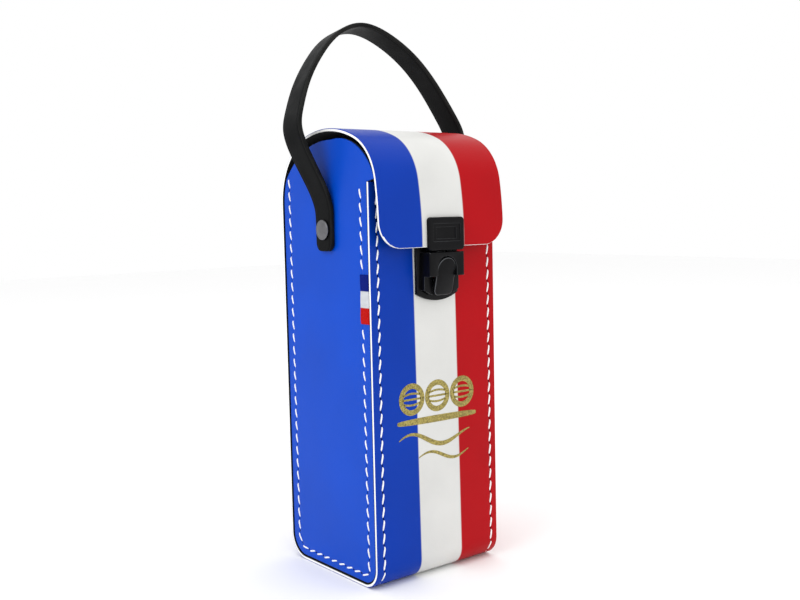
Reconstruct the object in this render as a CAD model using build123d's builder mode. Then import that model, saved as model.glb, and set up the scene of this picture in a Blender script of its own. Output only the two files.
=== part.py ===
"""Leather carry case for three steel bowls, with a wraparound lid, strap handle and slide lock.

Frame: origin at the centre of the case's flat bottom, X to the right, Y to the back, Z up, in
millimetres. The front of the case, with the lock, faces -Y.
"""

from math import cos, pi, radians, sin
import os

from build123d import *

# --- Bowls --------------------------------------------------------------------------------------
ball_count = 3
ball_diameter = 75.0
ball_wall = 6.1
ball_play = 0.1
stripe_depth = 0.45
stripe_width = 1.2
stripe_latitudes = (-38.0, -14.0, 14.0, 38.0)

# --- Case: one strip of leather round the front, bottom, back and lid, and two side panels ------
leather = 2.0
side_room = 3.0  # bowl to side panel
front_room = 2.5  # bowl to the front and to the back
front_drop = 12.6  # front's top edge below the top of the stacked bowls
back_drop = 22.8  # the back is flat up to this far below the top of the bowls, then bends forwards
front_corner_radius = 12.0
back_corner_radius = 14.0
panel_inset = 0.5  # side panel below the strip's raw edge
panel_gap = 0.25  # side panel's edge to the inside of the strip

# --- Lid: inside radius and turn of each bend, from the back over the top to the hanging flap ---
shoulder_radius, shoulder_turn = 36.8, 74.7
crown_turn = 37.9  # its radius follows from the depth of the case
brow_radius, brow_turn = 28.3, 58.6
hang_radius, hang_turn = 183.0, 11.0
flap_gap = 6.6  # flap's inside in front of the front panel
hinge_turn = 23.2  # how far round the shoulder the back seam ends and the lid bends open
hinge_gap = 0.3
flap_corner_radius = 14.0

# --- Side panel's arch under the lid: places along Y, and gaps to the lid's inside --------------
arch_back_inset = 26.0  # in from the back
arch_crest_inset = 34.0  # in from the front
arch_brow_inset = 10.7  # in from the front
arch_back_gap = 4.0
arch_crest_gap = 4.1
arch_brow_gap = 3.5
arch_front_gap = 2.85
arch_front_rise = 1.5  # its front end above the front's top edge

# --- Seams: thread lying in a pressed groove ----------------------------------------------------
thread_width = 1.0
thread_depth = 0.55
groove_width = 1.2
groove_depth = 0.6
side_seam_inset = 6.0  # from the side panel's upright edges
bottom_seam_inset = 4.3  # from the side panel's bottom edge
side_seam_drop = 2.7  # its ends below the front's top edge
side_seam_front_radius = 4.0
side_seam_back_radius = 8.0
wrap_seam_inset = 4.6  # from the strip's raw edge
wrap_seam_drop = 7.7  # its front end below the front's top edge
wrap_seam_back_turn = 17.0

# --- Strap handle -------------------------------------------------------------------------------
strap_width = 16.0
strap_thickness = 2.4
strap_play = 0.4  # strap to side panel
strap_tail = 11.5  # below the rivet
strap_flat = 7.6  # above the rivet, still flat against the panel
strap_lean = 14.6  # degrees that the loop leans back
pivot_y = -3.4
pivot_drop = 24.3  # rivet below the front's top edge
# Middle of one leg from the panel out and over: outwards from the flat part, back and up from the rivet.
leg_points = (
    (4.3, 3.0, 26.4),
    (10.9, 6.2, 42.6),
    (12.8, 9.2, 54.6),
    (9.5, 12.0, 64.6),
    (1.8, 15.9, 79.6),
    (-9.7, 20.3, 94.6),
    (-24.8, 24.6, 107.6),
)
loop_back, loop_rise = 26.8, 112.6  # top of the loop, back and up from the rivet
leg_sections = 24

# --- Handle rivets ------------------------------------------------------------------------------
rivet_radius = 2.0
rivet_play = 0.06
rivet_face_gap = 0.1
cap_radius, cap_height, cap_round = 5.5, 1.6, 1.28
washer_radius, washer_thickness = 4.5, 0.8
tail_radius, tail_height = 3.0, 0.7

# --- Woven tag ----------------------------------------------------------------------------------
tag_drop = 47.4  # its top below the front's top edge
tag_height = 25.8
tag_width = 7.8
tag_thickness = 0.8

# --- Lock: heights are from the lower edge of its plate on the flap, depths from the leather ----
plate_drop = 1.9  # that edge below the flap's edge
hole_play = 0.05

# Lower half: base plate, housing and backing plate on the front panel.
base_width = 28.4
base_thickness = 2.0
base_bottom, base_top = -26.9, 7.5
base_bulge = 3.9  # rise of the rounded lower end
housing_inset = 2.2  # housing inside the base plate's outline
housing_top = -1.0
housing_step = -13.7  # the housing is shallow below, deep above
housing_deep, housing_shallow = 8.5, 3.5
housing_round = 0.8
mouth_width, mouth_depth, mouth_bottom = 15.2, 6.9, -6.5
pocket_width, pocket_depth = 22.0, 3.0
pocket_top = -10.9
backing_width, backing_thickness, backing_corner = 24.0, 0.8, 3.0
backing_bottom, backing_top = -26.3, 9.5
base_rivet_spots = ((-9.0, 3.5), (9.0, 3.5), (0.0, -19.4))
base_rivet_radius = 1.2
base_rivet_head_radius, base_rivet_head_height = 1.8, 0.6

# Slider, which goes down and inwards.
slide_tilt = 14.0
slide_travel = 4.0
thumb_width, thumb_length, thumb_thickness, thumb_corner = 12.5, 20.6, 2.4, 3.0
thumb_bottom = -24.0
thumb_proud = 4.3  # its front at the lower end, in front of the base plate
thumb_play = 0.4
core_width, core_bottom, core_top = 10.0, -13.2, -8.0
wing_width, wing_height = 21.2, 2.0
arm_width, arm_top, arm_thickness = 8.0, -0.4, 1.2
slider_clear = 1.4  # its back face in front of the base plate
tooth_width, tooth_height, tooth_reach = 5.2, 1.2, 0.9
spring_x, spring_radius, spring_wire, spring_turns = 8.9, 1.0, 0.34, 6.0
spring_room = 4.5  # left for the springs when the slider is right down

# Upper half: plate with tongue outside the flap, clamp plate inside it.
plate_width, plate_height, plate_thickness = 24.6, 17.5, 2.0
plate_corner = 2.0
web_thickness = 1.4
recess_width, recess_bottom, recess_top, recess_depth = 19.0, 4.7, 14.1, 0.6
window_width, window_bottom, window_top, window_depth = 14.0, 6.1, 12.3, 1.3
tongue_width, tongue_thickness, tongue_bottom = 14.0, 1.3, -5.5
tongue_clear = 0.4  # its back face in front of the slider's arm
catch_width, catch_bottom, catch_top = 6.8, -3.9, -0.1
clamp_width, clamp_thickness = 23.0, 1.2
clamp_bottom, clamp_top = 4.5, 15.5
clamp_gap = 0.15
flap_rivet_x, flap_rivet_rise = 8.8, 10.0
flap_rivet_radius, flap_rivet_head_radius, flap_rivet_head_height = 1.4, 2.6, 0.7

# --- Worked out ---------------------------------------------------------------------------------
ball_radius = ball_diameter / 2
stack_top = leather + ball_count * (ball_diameter + ball_play)
case_depth = ball_diameter + 2 * (front_room + leather)
front_face, back_face = -case_depth / 2, case_depth / 2
front_height = stack_top - front_drop
back_straight_height = stack_top - back_drop
panel_inner = ball_radius + side_room
panel_outer = panel_inner + leather
half_width = panel_outer + panel_inset
panel_edge = back_face - leather - panel_gap
panel_low = leather + panel_gap
strap_inner = panel_outer + strap_play
strap_middle = strap_inner + strap_thickness / 2
strap_outer = strap_inner + strap_thickness
pivot_z = front_height - pivot_drop
pocket_bottom = core_bottom - slide_travel - spring_room
tilt = radians(slide_tilt)
thumb_top = thumb_bottom + thumb_length * cos(tilt) + thumb_thickness * sin(tilt)
slider_back = base_thickness + slider_clear
tongue_back = slider_back + arm_thickness + tongue_clear

# The lid's four bends reach from the back to the flap, so the crown takes what the others leave.
after_shoulder = radians(shoulder_turn)
after_crown = radians(shoulder_turn + crown_turn)
after_brow = radians(shoulder_turn + crown_turn + brow_turn)
lid_reach = case_depth - leather + flap_gap
shoulder_reach = shoulder_radius * (1 - cos(after_shoulder))
brow_reach = brow_radius * (cos(after_crown) - cos(after_brow))
hang_reach = hang_radius * (cos(after_brow) + 1)
others = shoulder_reach + brow_reach + hang_reach
crown_radius = (lid_reach - others) / (cos(after_shoulder) - cos(after_crown))

sides = {"left": -1, "right": 1}

os.makedirs("parts", exist_ok=True)


def write(piece, name):
    """Labels a finished piece and writes it as a node of that name."""
    piece.part.label = name
    export_step(piece.part, f"parts/{name}.step")


def bend(turn, depth=0.0):
    """Point (y, z) on the shoulder bend above the flat back, a depth under the leather's outside."""
    radius = shoulder_radius + leather - depth
    middle = back_face - leather - shoulder_radius
    return (
        middle + radius * cos(radians(turn)),
        back_straight_height + radius * sin(radians(turn)),
    )


def lid_line(depth, first_turn):
    """The lid's line, a depth under the leather's outside: four arcs that run into each other."""
    start, heading = bend(first_turn, depth), (-sin(radians(first_turn)), cos(radians(first_turn)))
    arcs = []
    for radius, turn in (
        (shoulder_radius, shoulder_turn - first_turn),
        (crown_radius, crown_turn),
        (brow_radius, brow_turn),
        (hang_radius, hang_turn),
    ):
        arc = JernArc(start, heading, radius + leather - depth, turn)
        arcs.append(arc)
        start, heading = arc @ 1, arc % 1
    return arcs


def strip_line(depth, top, back_turn):
    """The strip's line from the front's top edge, round the bottom and up the back into the bend."""
    front, back = front_face + depth, back_face - depth
    FilletPolyline(
        (front, top),
        (front, depth),
        (back, depth),
        (back, back_straight_height),
        radius=[front_corner_radius - depth, back_corner_radius - depth],
    )
    JernArc((back, back_straight_height), (0, 1), shoulder_radius + leather - depth, back_turn)


def strip_layer(plane, outer, inner, top, back_turn):
    """Section of the strip between two depths under its outside."""
    with BuildSketch(plane) as layer:
        with BuildLine():
            strip_line(outer, top, back_turn)
            strip_line(inner, top, back_turn)
            Line((front_face + outer, top), (front_face + inner, top))
            Line(bend(back_turn, outer), bend(back_turn, inner))
        make_face()
    return layer.sketch


def side_seam(plane, width):
    """The U-shaped row of stitches on a side panel, as a band of a given width."""
    reach = panel_edge - side_seam_inset
    low = panel_low + bottom_seam_inset
    top = front_height - side_seam_drop
    with BuildSketch(plane) as band:
        with BuildLine():
            for offset in (-width / 2, width / 2):
                FilletPolyline(
                    (-reach + offset, top),
                    (-reach + offset, low + offset),
                    (reach - offset, low + offset),
                    (reach - offset, top),
                    radius=[side_seam_front_radius - offset, side_seam_back_radius - offset],
                )
            for middle in (-reach, reach):
                Line((middle - width / 2, top), (middle + width / 2, top))
        make_face()
    return band.sketch


def lock_outline(plane, inset, top):
    """The lock's front outline, straight-sided with a rounded lower end, inside its base plate."""
    half = base_width / 2 - inset
    low, shoulder = base_bottom + inset, base_bottom + base_bulge + inset
    with BuildSketch(plane) as outline:
        with BuildLine():
            Polyline((-half, shoulder), (-half, top), (half, top), (half, shoulder))
            ThreePointArc((-half, shoulder), (0, low), (half, shoulder))
        make_face()
    return outline.sketch


def lock_block(x, y, z, mode=Mode.ADD):
    """A block of the lock as wide as x, with Y relative to the case and Z to the lock's line."""
    block((-x / 2, x / 2), y, (lock_line + z[0], lock_line + z[1]), mode)


def block(x, y, z, mode=Mode.ADD):
    """A rectangular block between two values each of X, Y and Z, in the part being built."""
    with Locations([(sum(x) / 2, sum(y) / 2, sum(z) / 2)]):
        Box(x[1] - x[0], abs(y[1] - y[0]), z[1] - z[0], mode=mode)


def pin(plane, spots, radius, start, end, mode=Mode.ADD):
    """Round pins or holes square to a plane, from one height above it to another."""
    with BuildSketch(plane.offset(start)) as ends:
        with Locations(*spots):
            Circle(radius)
    extrude(ends.sketch, amount=end - start, mode=mode)


# --- Case ---------------------------------------------------------------------------------------
with BuildPart() as lid_flap:
    lid_start = hinge_turn + hinge_gap / (shoulder_radius + leather / 2) * 180 / pi
    with BuildSketch(Plane.YZ):
        with BuildLine():
            lid_outside = lid_line(0, lid_start)
            lid_inside = lid_line(leather, lid_start)
            Line(lid_outside[0] @ 0, lid_inside[0] @ 0)
            Line(lid_outside[-1] @ 1, lid_inside[-1] @ 1)
        make_face()
    extrude(amount=half_width, both=True)
    flap_low = lid_flap.part.bounding_box().min.Z
    flap_front = lid_flap.part.bounding_box().min.Y
    lid_top = lid_flap.part.bounding_box().max.Z
    above = lid_top + flap_gap
    with BuildSketch(Plane.XZ):
        with BuildLine():
            FilletPolyline(
                (-half_width, above),
                (-half_width, flap_low),
                (half_width, flap_low),
                (half_width, above),
                radius=flap_corner_radius,
            )
            Line((-half_width, above), (half_width, above))
        make_face()
    extrude(amount=case_depth, both=True, mode=Mode.INTERSECT)
    lock_line = flap_low - plate_drop
    flap_plane = Plane((0, flap_front, lock_line), x_dir=(1, 0, 0), z_dir=(0, -1, 0))
    flap_spots = [(-flap_rivet_x, flap_rivet_rise), (flap_rivet_x, flap_rivet_rise)]
    flap_hole = flap_rivet_radius + hole_play
    pin(flap_plane, flap_spots, flap_hole, -2 * leather, leather, Mode.SUBTRACT)
write(lid_flap, "lid_flap")

lock_plane = Plane((0, front_face, lock_line), x_dir=(1, 0, 0), z_dir=(0, -1, 0))
wrap_seam_x = half_width - wrap_seam_inset
wrap_seams = [Plane.YZ.offset(side * wrap_seam_x - thread_width / 2) for side in sides.values()]
wrap_grooves = [Plane.YZ.offset(side * wrap_seam_x - groove_width / 2) for side in sides.values()]

with BuildPart() as wrap_panel:
    extrude(
        strip_layer(Plane.YZ, 0, leather, front_height, hinge_turn), amount=half_width, both=True
    )
    for plane in wrap_grooves:
        extrude(
            strip_layer(plane, 0, groove_depth, front_height - wrap_seam_drop, wrap_seam_back_turn),
            amount=groove_width,
            mode=Mode.SUBTRACT,
        )
    base_hole = base_rivet_radius + hole_play
    pin(lock_plane, base_rivet_spots, base_hole, -leather, 0, Mode.SUBTRACT)
write(wrap_panel, "wrap_panel")


def lid_inside_height(y):
    """Height of the lid's inside above a place on the Y axis."""
    ray = Edge.make_line((y, pivot_z), (y, 2 * lid_top))
    return max(ray.intersect(arc)[0].Y for arc in lid_inside if ray.intersect(arc))


arch = []
for y, gap in (
    (back_face - arch_back_inset, arch_back_gap),
    (front_face + arch_crest_inset, arch_crest_gap),
    (front_face + arch_brow_inset, arch_brow_gap),
):
    arch.append((y, lid_inside_height(y) - gap))
arch.append((flap_front + leather + arch_front_gap, front_height + arch_front_rise))
front_notch = (-panel_edge, front_height + panel_gap)


def side_panel(side):
    """A side panel, rounded below and arched above, with its seam groove and the rivet's hole."""
    outer_plane = Plane.YZ.offset(side * panel_outer)
    with BuildPart() as panel:
        with BuildSketch(outer_plane):
            with BuildLine():
                FilletPolyline(
                    front_notch,
                    (-panel_edge, panel_low),
                    (panel_edge, panel_low),
                    (panel_edge, back_straight_height),
                    radius=[front_corner_radius - panel_low, back_corner_radius - panel_low],
                )
                JernArc(
                    (panel_edge, back_straight_height),
                    (0, 1),
                    shoulder_radius - panel_gap,
                    hinge_turn,
                )
                ThreePointArc(bend(hinge_turn, panel_low), arch[0], arch[1])
                ThreePointArc(arch[1], arch[2], arch[3])
                Line(arch[3], front_notch)
            make_face()
        extrude(amount=-side * leather)
        extrude(
            side_seam(outer_plane, groove_width), amount=-side * groove_depth, mode=Mode.SUBTRACT
        )
        pin(
            outer_plane,
            [(pivot_y, pivot_z)],
            rivet_radius + rivet_play,
            -2 * leather,
            2 * leather,
            mode=Mode.SUBTRACT,
        )
    return panel


def seam_thread(side, plane):
    """The thread of one side's seam: one row on the side panel and one on the strip."""
    with BuildPart() as thread:
        low = side * (panel_outer - groove_depth)
        extrude(side_seam(Plane.YZ.offset(low), thread_width), amount=side * thread_depth)
        top = groove_depth - thread_depth
        extrude(
            strip_layer(plane, top, groove_depth, front_height - wrap_seam_drop, wrap_seam_back_turn),
            amount=thread_width,
        )
    return thread


for (name, side), plane in zip(sides.items(), wrap_seams):
    write(side_panel(side), f"side_panel_{name}")
    write(seam_thread(side, plane), f"seam_thread_{name}")

with BuildPart() as flag_tag:
    block(
        (-panel_outer - tag_thickness, -panel_outer),
        (-panel_edge - panel_gap, -panel_edge - panel_gap + tag_width),
        (front_height - tag_drop - tag_height, front_height - tag_drop),
    )
write(flag_tag, "flag_tag")

# --- Bowls --------------------------------------------------------------------------------------
for number in range(ball_count):
    with BuildPart() as bowl:
        middle = leather + ball_play + ball_radius + number * (ball_diameter + ball_play)
        centre = Plane((0, 0, middle), x_dir=(1, 0, 0), z_dir=(0, -1, 0))
        with BuildSketch(centre):
            Circle(ball_radius)
            Circle(ball_radius - ball_wall, mode=Mode.SUBTRACT)
            for latitude in stripe_latitudes:
                with PolarLocations(ball_radius, 1, start_angle=latitude):
                    Rectangle(2 * stripe_depth, stripe_width, mode=Mode.SUBTRACT)
            with Locations((-ball_radius, 0)):
                Rectangle(ball_diameter, 2 * ball_diameter, mode=Mode.SUBTRACT)
        revolve(axis=Axis.Z)
    write(bowl, f"bowl_{number + 1}")

# --- Handle -------------------------------------------------------------------------------------
flat_top = pivot_z + strap_flat
lean = Vector(0, cos(radians(strap_lean)), -sin(radians(strap_lean)))
leg = [(strap_middle + x, pivot_y + y, pivot_z + z) for x, y, z in leg_points]
other_leg = [(-x, y, z) for x, y, z in reversed(leg)]
with BuildLine() as loop:
    Spline(
        (strap_middle, pivot_y, flat_top),
        *leg,
        (0, pivot_y + loop_back, pivot_z + loop_rise),
        *other_leg,
        (-strap_middle, pivot_y, flat_top),
        tangents=[(0, 0, 1), (0, 0, -1)],
    )
with BuildPart() as handle_strap:
    for step in range(2 * leg_sections + 1):
        place = step / (2 * leg_sections)
        along = loop.line % place
        across = lean - along * lean.dot(along)
        with BuildSketch(Plane(loop.line @ place, x_dir=across, z_dir=along)):
            Rectangle(strap_width, strap_thickness)
    loft(ruled=True)
    for start in (-strap_outer, strap_inner):
        left, right = pivot_y - strap_width / 2, pivot_y + strap_width / 2
        with BuildSketch(Plane.YZ.offset(start)):
            with BuildLine():
                Polyline((left, pivot_z), (left, flat_top), (right, flat_top), (right, pivot_z))
                ThreePointArc((left, pivot_z), (pivot_y, pivot_z - strap_tail), (right, pivot_z))
            make_face()
        extrude(amount=strap_thickness)
    pin(
        Plane.YZ,
        [(pivot_y, pivot_z)],
        rivet_radius + rivet_play,
        -half_width - strap_width,
        half_width + strap_width,
        mode=Mode.SUBTRACT,
    )
write(handle_strap, "handle_strap")

for name, side in sides.items():
    side_plane = Plane((0, 0, 0), x_dir=(0, side, 0), z_dir=(side, 0, 0))
    spot = [(side * pivot_y, pivot_z)]
    washer_top = panel_inner - rivet_face_gap
    washer_low = washer_top - washer_thickness
    cap_low = strap_outer + rivet_face_gap
    with BuildPart() as rivet:
        pin(side_plane, spot, rivet_radius, washer_low, cap_low)
        pin(side_plane, spot, tail_radius, washer_low - tail_height, washer_low)
        pin(side_plane, spot, cap_radius, cap_low, cap_low + cap_height)
        rim = rivet.edges().filter_by(GeomType.CIRCLE).sort_by(Axis.X)[-1 if side > 0 else 0]
        fillet(rim, radius=cap_round)
    write(rivet, f"handle_rivet_{name}")
    with BuildPart() as washer:
        pin(side_plane, spot, washer_radius, washer_low, washer_top)
        pin(side_plane, spot, rivet_radius + hole_play, washer_low, washer_top, mode=Mode.SUBTRACT)
    write(washer, f"rivet_washer_{name}")

# --- Lock, lower half ---------------------------------------------------------------------------
with BuildPart() as lock_base_plate:
    extrude(lock_outline(lock_plane, 0, base_top), amount=base_thickness)
    pin(lock_plane, base_rivet_spots, base_hole, 0, base_thickness, Mode.SUBTRACT)
write(lock_base_plate, "lock_base_plate")

base_front = front_face - base_thickness
thumb_middle = thumb_top - thumb_width / 2
with BuildPart() as lock_housing:
    housing_plane = lock_plane.offset(base_thickness)
    extrude(lock_outline(housing_plane, housing_inset, housing_top), amount=housing_deep)
    step_y = (base_front - 2 * housing_deep, base_front - housing_shallow)
    lock_block(2 * base_width, step_y, (2 * base_bottom, housing_step), Mode.SUBTRACT)
    fillet(lock_housing.faces().sort_by(Axis.Y)[0].edges(), radius=housing_round)
    with BuildSketch(housing_plane) as thumb_slot:
        with Locations((0, thumb_middle)):
            Circle(thumb_width / 2 + thumb_play)
        with Locations((0, thumb_middle - base_width)):
            Rectangle(thumb_width + 2 * thumb_play, 2 * base_width)
    extrude(thumb_slot.sketch, amount=housing_deep, mode=Mode.SUBTRACT)
    mouth_y = (base_front - mouth_depth, base_front)
    lock_block(mouth_width, mouth_y, (mouth_bottom, housing_top), Mode.SUBTRACT)
    pocket_y = (base_front - pocket_depth, base_front)
    lock_block(pocket_width, pocket_y, (pocket_bottom, pocket_top), Mode.SUBTRACT)
write(lock_housing, "lock_housing")

with BuildPart() as lock_backing_plate:
    back_plane = lock_plane.offset(-leather - backing_thickness)
    with BuildSketch(back_plane):
        with Locations((0, (backing_bottom + backing_top) / 2)):
            RectangleRounded(backing_width, backing_top - backing_bottom, backing_corner)
    extrude(amount=backing_thickness)
    pin(back_plane, base_rivet_spots, base_hole, 0, backing_thickness, Mode.SUBTRACT)
write(lock_backing_plate, "lock_backing_plate")

with BuildPart() as lock_base_rivets:
    inside = -leather - backing_thickness
    pin(lock_plane, base_rivet_spots, base_rivet_radius, inside, base_thickness)
    for low in (base_thickness, inside - base_rivet_head_height):
        high = low + base_rivet_head_height
        pin(lock_plane, base_rivet_spots, base_rivet_head_radius, low, high)
write(lock_base_rivets, "lock_base_rivets")

# --- Lock slider --------------------------------------------------------------------------------
thumb_foot = base_front - thumb_proud
thumb_plane = Plane(
    (0, thumb_foot, lock_line + thumb_bottom),
    x_dir=(1, 0, 0),
    z_dir=(0, -cos(tilt), -sin(tilt)),
)
back_y = front_face - slider_back
arm_y = back_y - arm_thickness
with BuildPart() as lock_slider:
    with BuildSketch(thumb_plane):
        with Locations((0, thumb_length / 2)):
            SlotOverall(thumb_length, thumb_width, rotation=90)
        with Locations((0, thumb_length / 2 - thumb_width / 4)):
            RectangleRounded(thumb_width, thumb_length - thumb_width / 2, thumb_corner)
    extrude(amount=-thumb_thickness)
    core_front = thumb_foot - (core_bottom - thumb_bottom) * sin(tilt)
    lock_block(core_width, (core_front, back_y), (core_bottom, core_top))
    lock_block(wing_width, (arm_y, back_y), (core_bottom, core_bottom + wing_height))
    lock_block(arm_width, (arm_y, back_y), (core_bottom, arm_top))
    lock_block(tooth_width, (arm_y - tooth_reach, arm_y), (arm_top - tooth_height, arm_top))
write(lock_slider, "lock_slider")

with BuildPart() as lock_springs:
    for x in (-spring_x, spring_x):
        low, high = pocket_bottom + spring_wire, core_bottom - spring_wire
        foot = (x, base_front - pocket_depth / 2, lock_line + low)
        coil = Helix((high - low) / spring_turns, high - low, spring_radius, center=foot)
        with BuildSketch(Plane(coil @ 0, z_dir=coil % 0)) as wire:
            Circle(spring_wire / 2)
        sweep(wire.sketch, path=coil)
write(lock_springs, "lock_springs")

# --- Lock, upper half ---------------------------------------------------------------------------
tongue_y = front_face - tongue_back
tongue_front = tongue_y - tongue_thickness
plate_front = flap_front - plate_thickness
with BuildPart() as lock_flap_plate:
    with BuildSketch(flap_plane):
        with Locations((0, plate_height / 2)):
            RectangleRounded(plate_width, plate_height, plate_corner)
    extrude(amount=plate_thickness)
    fillet(lock_flap_plate.faces().sort_by(Axis.Y)[0].edges(), radius=housing_round)
    for width, low, high, depth in (
        (recess_width, recess_bottom, recess_top, recess_depth),
        (window_width, window_bottom, window_top, window_depth),
    ):
        lock_block(width, (plate_front, plate_front + depth), (low, high), Mode.SUBTRACT)
    lock_block(plate_width - 2 * plate_corner, (flap_front, tongue_y), (0, web_thickness))
    lock_block(tongue_width, (tongue_front, tongue_y), (tongue_bottom, 0))
    lock_block(catch_width, (tongue_front, tongue_y), (catch_bottom, catch_top), Mode.SUBTRACT)
write(lock_flap_plate, "lock_flap_plate")

clamp_low = -leather - clamp_gap - clamp_thickness
with BuildPart() as lock_flap_clamp:
    clamp_plane = flap_plane.offset(clamp_low)
    with BuildSketch(clamp_plane):
        with Locations((0, (clamp_bottom + clamp_top) / 2)):
            RectangleRounded(clamp_width, clamp_top - clamp_bottom, plate_corner)
    extrude(amount=clamp_thickness)
    pin(
        clamp_plane, flap_spots, flap_rivet_radius + hole_play, 0, clamp_thickness, Mode.SUBTRACT
    )
write(lock_flap_clamp, "lock_flap_clamp")

with BuildPart() as lock_flap_rivets:
    pin(flap_plane, flap_spots, flap_rivet_radius, clamp_low, 0)
    pin(
        flap_plane,
        flap_spots,
        flap_rivet_head_radius,
        clamp_low - flap_rivet_head_height,
        clamp_low,
    )
write(lock_flap_rivets, "lock_flap_rivets")
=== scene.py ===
"""Leather carry case for three steel bowls: its visible surfaces and finishes, over the CAD frame."""

import bmesh
import bpy
import numpy as np
from bpy.props import FloatProperty, FloatVectorProperty, PointerProperty
from mathutils import Matrix, Vector


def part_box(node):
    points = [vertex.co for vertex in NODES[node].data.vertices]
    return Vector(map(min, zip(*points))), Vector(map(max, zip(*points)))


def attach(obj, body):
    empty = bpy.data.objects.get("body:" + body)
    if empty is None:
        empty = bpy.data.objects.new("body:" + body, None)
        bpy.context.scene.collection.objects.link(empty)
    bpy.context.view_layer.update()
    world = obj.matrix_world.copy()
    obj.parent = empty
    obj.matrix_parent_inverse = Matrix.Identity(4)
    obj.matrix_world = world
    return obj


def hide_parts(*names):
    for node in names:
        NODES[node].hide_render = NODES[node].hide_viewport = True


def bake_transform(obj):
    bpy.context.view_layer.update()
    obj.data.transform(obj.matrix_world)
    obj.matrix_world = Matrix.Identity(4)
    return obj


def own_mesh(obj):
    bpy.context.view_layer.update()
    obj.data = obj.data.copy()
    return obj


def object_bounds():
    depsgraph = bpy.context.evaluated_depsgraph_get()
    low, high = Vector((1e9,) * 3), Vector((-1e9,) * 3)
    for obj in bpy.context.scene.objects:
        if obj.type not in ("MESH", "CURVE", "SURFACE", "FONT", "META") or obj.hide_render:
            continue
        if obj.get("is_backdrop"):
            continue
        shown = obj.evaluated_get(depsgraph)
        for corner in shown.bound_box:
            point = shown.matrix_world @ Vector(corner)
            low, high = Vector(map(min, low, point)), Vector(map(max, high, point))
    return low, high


bl_info = {
    "name": "Bowls carry case",
    "version": (1, 0, 0),
    "blender": (4, 5, 0),
    "location": "3D View > Sidebar > Carry Case",
    "description": "Builds the visible surfaces of a leather carry case for three steel bowls",
    "category": "Add Mesh",
}

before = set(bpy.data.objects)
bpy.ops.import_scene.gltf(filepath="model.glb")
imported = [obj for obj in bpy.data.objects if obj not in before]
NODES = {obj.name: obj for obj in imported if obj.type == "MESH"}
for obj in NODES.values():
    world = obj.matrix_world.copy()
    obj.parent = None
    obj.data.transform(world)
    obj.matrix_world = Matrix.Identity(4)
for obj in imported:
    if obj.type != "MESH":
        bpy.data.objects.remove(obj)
CAD_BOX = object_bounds()

MM = 0.001
WELD = 2e-7  # metres within which a new piece's corners are one

# Sizes of the case in millimetres, as the CAD part has them. X runs across the case, Y from front to back.
HALF_WIDTH = 43.0
FRONT, BACK = -42.0, 42.0
LEATHER = 2.0
FRONT_HEIGHT = 214.7
FRONT_CORNER, BACK_CORNER = 12.0, 14.0
BACK_STRAIGHT = 204.5
BACK_SPLIT = 150.0  # height on the back where the case's strip hands over to the lid's strip
LID_BENDS = ((38.8, 74.7), (67.207, 37.9), (30.3, 58.6), (185.0, 11.0))  # outside radius, degrees
FLAP_CORNER = 14.0
PANEL_OUTER, PANEL_EDGE, PANEL_LOW = 42.5, 39.75, 2.25
# The side panel's arch from the back over the top to the front, and the step at its front edge: (y, z).
ARCH = ((36.79, 218.9), (16.4, 234.1), (-8.0, 238.2), (-31.7, 233.4), (-46.1, 216.3))
NOTCH = (-39.75, 214.95)
PIVOT = (-3.4, 190.4)

# The seams: how far the side rows lie from the middle and from the ground, the radii of their lower
# corners in front and behind, and where they end.
SEAM_REACH, SEAM_LOW = 33.75, 6.55
SEAM_ROUNDS = (4.0, 8.0)
SEAM_TOP_FRONT, SEAM_TOP_BACK = 211.0, 217.0
WRAP_SEAM_X = 38.4  # how far the strip's rows lie from the middle
WRAP_SEAM_BEND = 17.0  # degrees of the back shoulder that the strip's seam still follows
GROOVE_WIDTH = 0.6
GROOVE_START, GROOVE_FADE = 5.0, 4.0  # where the strip's groove starts, and how long its ends are
SEAM_STEP = 0.25  # how finely the lines that the stitches follow are divided
BAND_EDGE = 14.33  # where the strip's colours change, from the middle
BAND_SHIFT, BAND_LEAN = 1.5, 0.0125  # the bands lie this far to the right at the ground, and lean left


def linear(hex_code):
    """sRGB hex to linear red, green, blue and alpha."""
    srgb = np.array([int(hex_code[i : i + 2], 16) / 255 for i in (1, 3, 5)])
    low = srgb / 12.92
    high = ((srgb + 0.055) / 1.055) ** 2.4
    return (*np.where(srgb <= 0.04045, low, high).tolist(), 1.0)


# --- Settings ------------------------------------------------------------------------------------


def size(name, about, default, low, high):
    """A length property in metres, given in millimetres."""
    return FloatProperty(
        name=name, description=about, default=default * MM, min=low * MM, max=high * MM,
        unit="LENGTH", precision=5,
    )


def tint(name, about, hex_code):
    """A colour property, given as sRGB hex."""
    return FloatVectorProperty(
        name=name, description=about, default=linear(hex_code)[:3], subtype="COLOR", size=3, min=0, max=1
    )


def power(name, about, watts):
    """A light's power."""
    return FloatProperty(name=name, description=about, default=watts, min=0, unit="POWER")


class LeatherSettings(bpy.types.PropertyGroup):
    """Colours of the leather and the size of its grain."""

    strip_blue: tint("Strip blue", "Blue band of the strip", "#0036A3")
    strip_white: tint("Strip white", "White band of the strip", "#D6D6D3")
    strip_red: tint("Strip red", "Red band of the strip", "#AA000C")
    left_side: tint("Left side", "Left side panel", "#0046BE")
    right_side: tint("Right side", "Right side panel", "#B40005")
    raw_edge: tint("Raw edge", "Cut edge of the strip", "#FBFBF9")
    # The lining colour also serves as painted shade along the side panels' edges.
    lining_and_edge_shade: tint("Lining", "Inner face of the leather", "#08080A")
    strap: tint("Strap", "Handle strap", "#090A0B")
    strap_worn: tint("Strap edges", "Burnished edges of the strap", "#222221")
    grain: size("Grain", "Width of one grain cell of the coated leather", 0.9, 0.2, 4.0)


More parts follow.
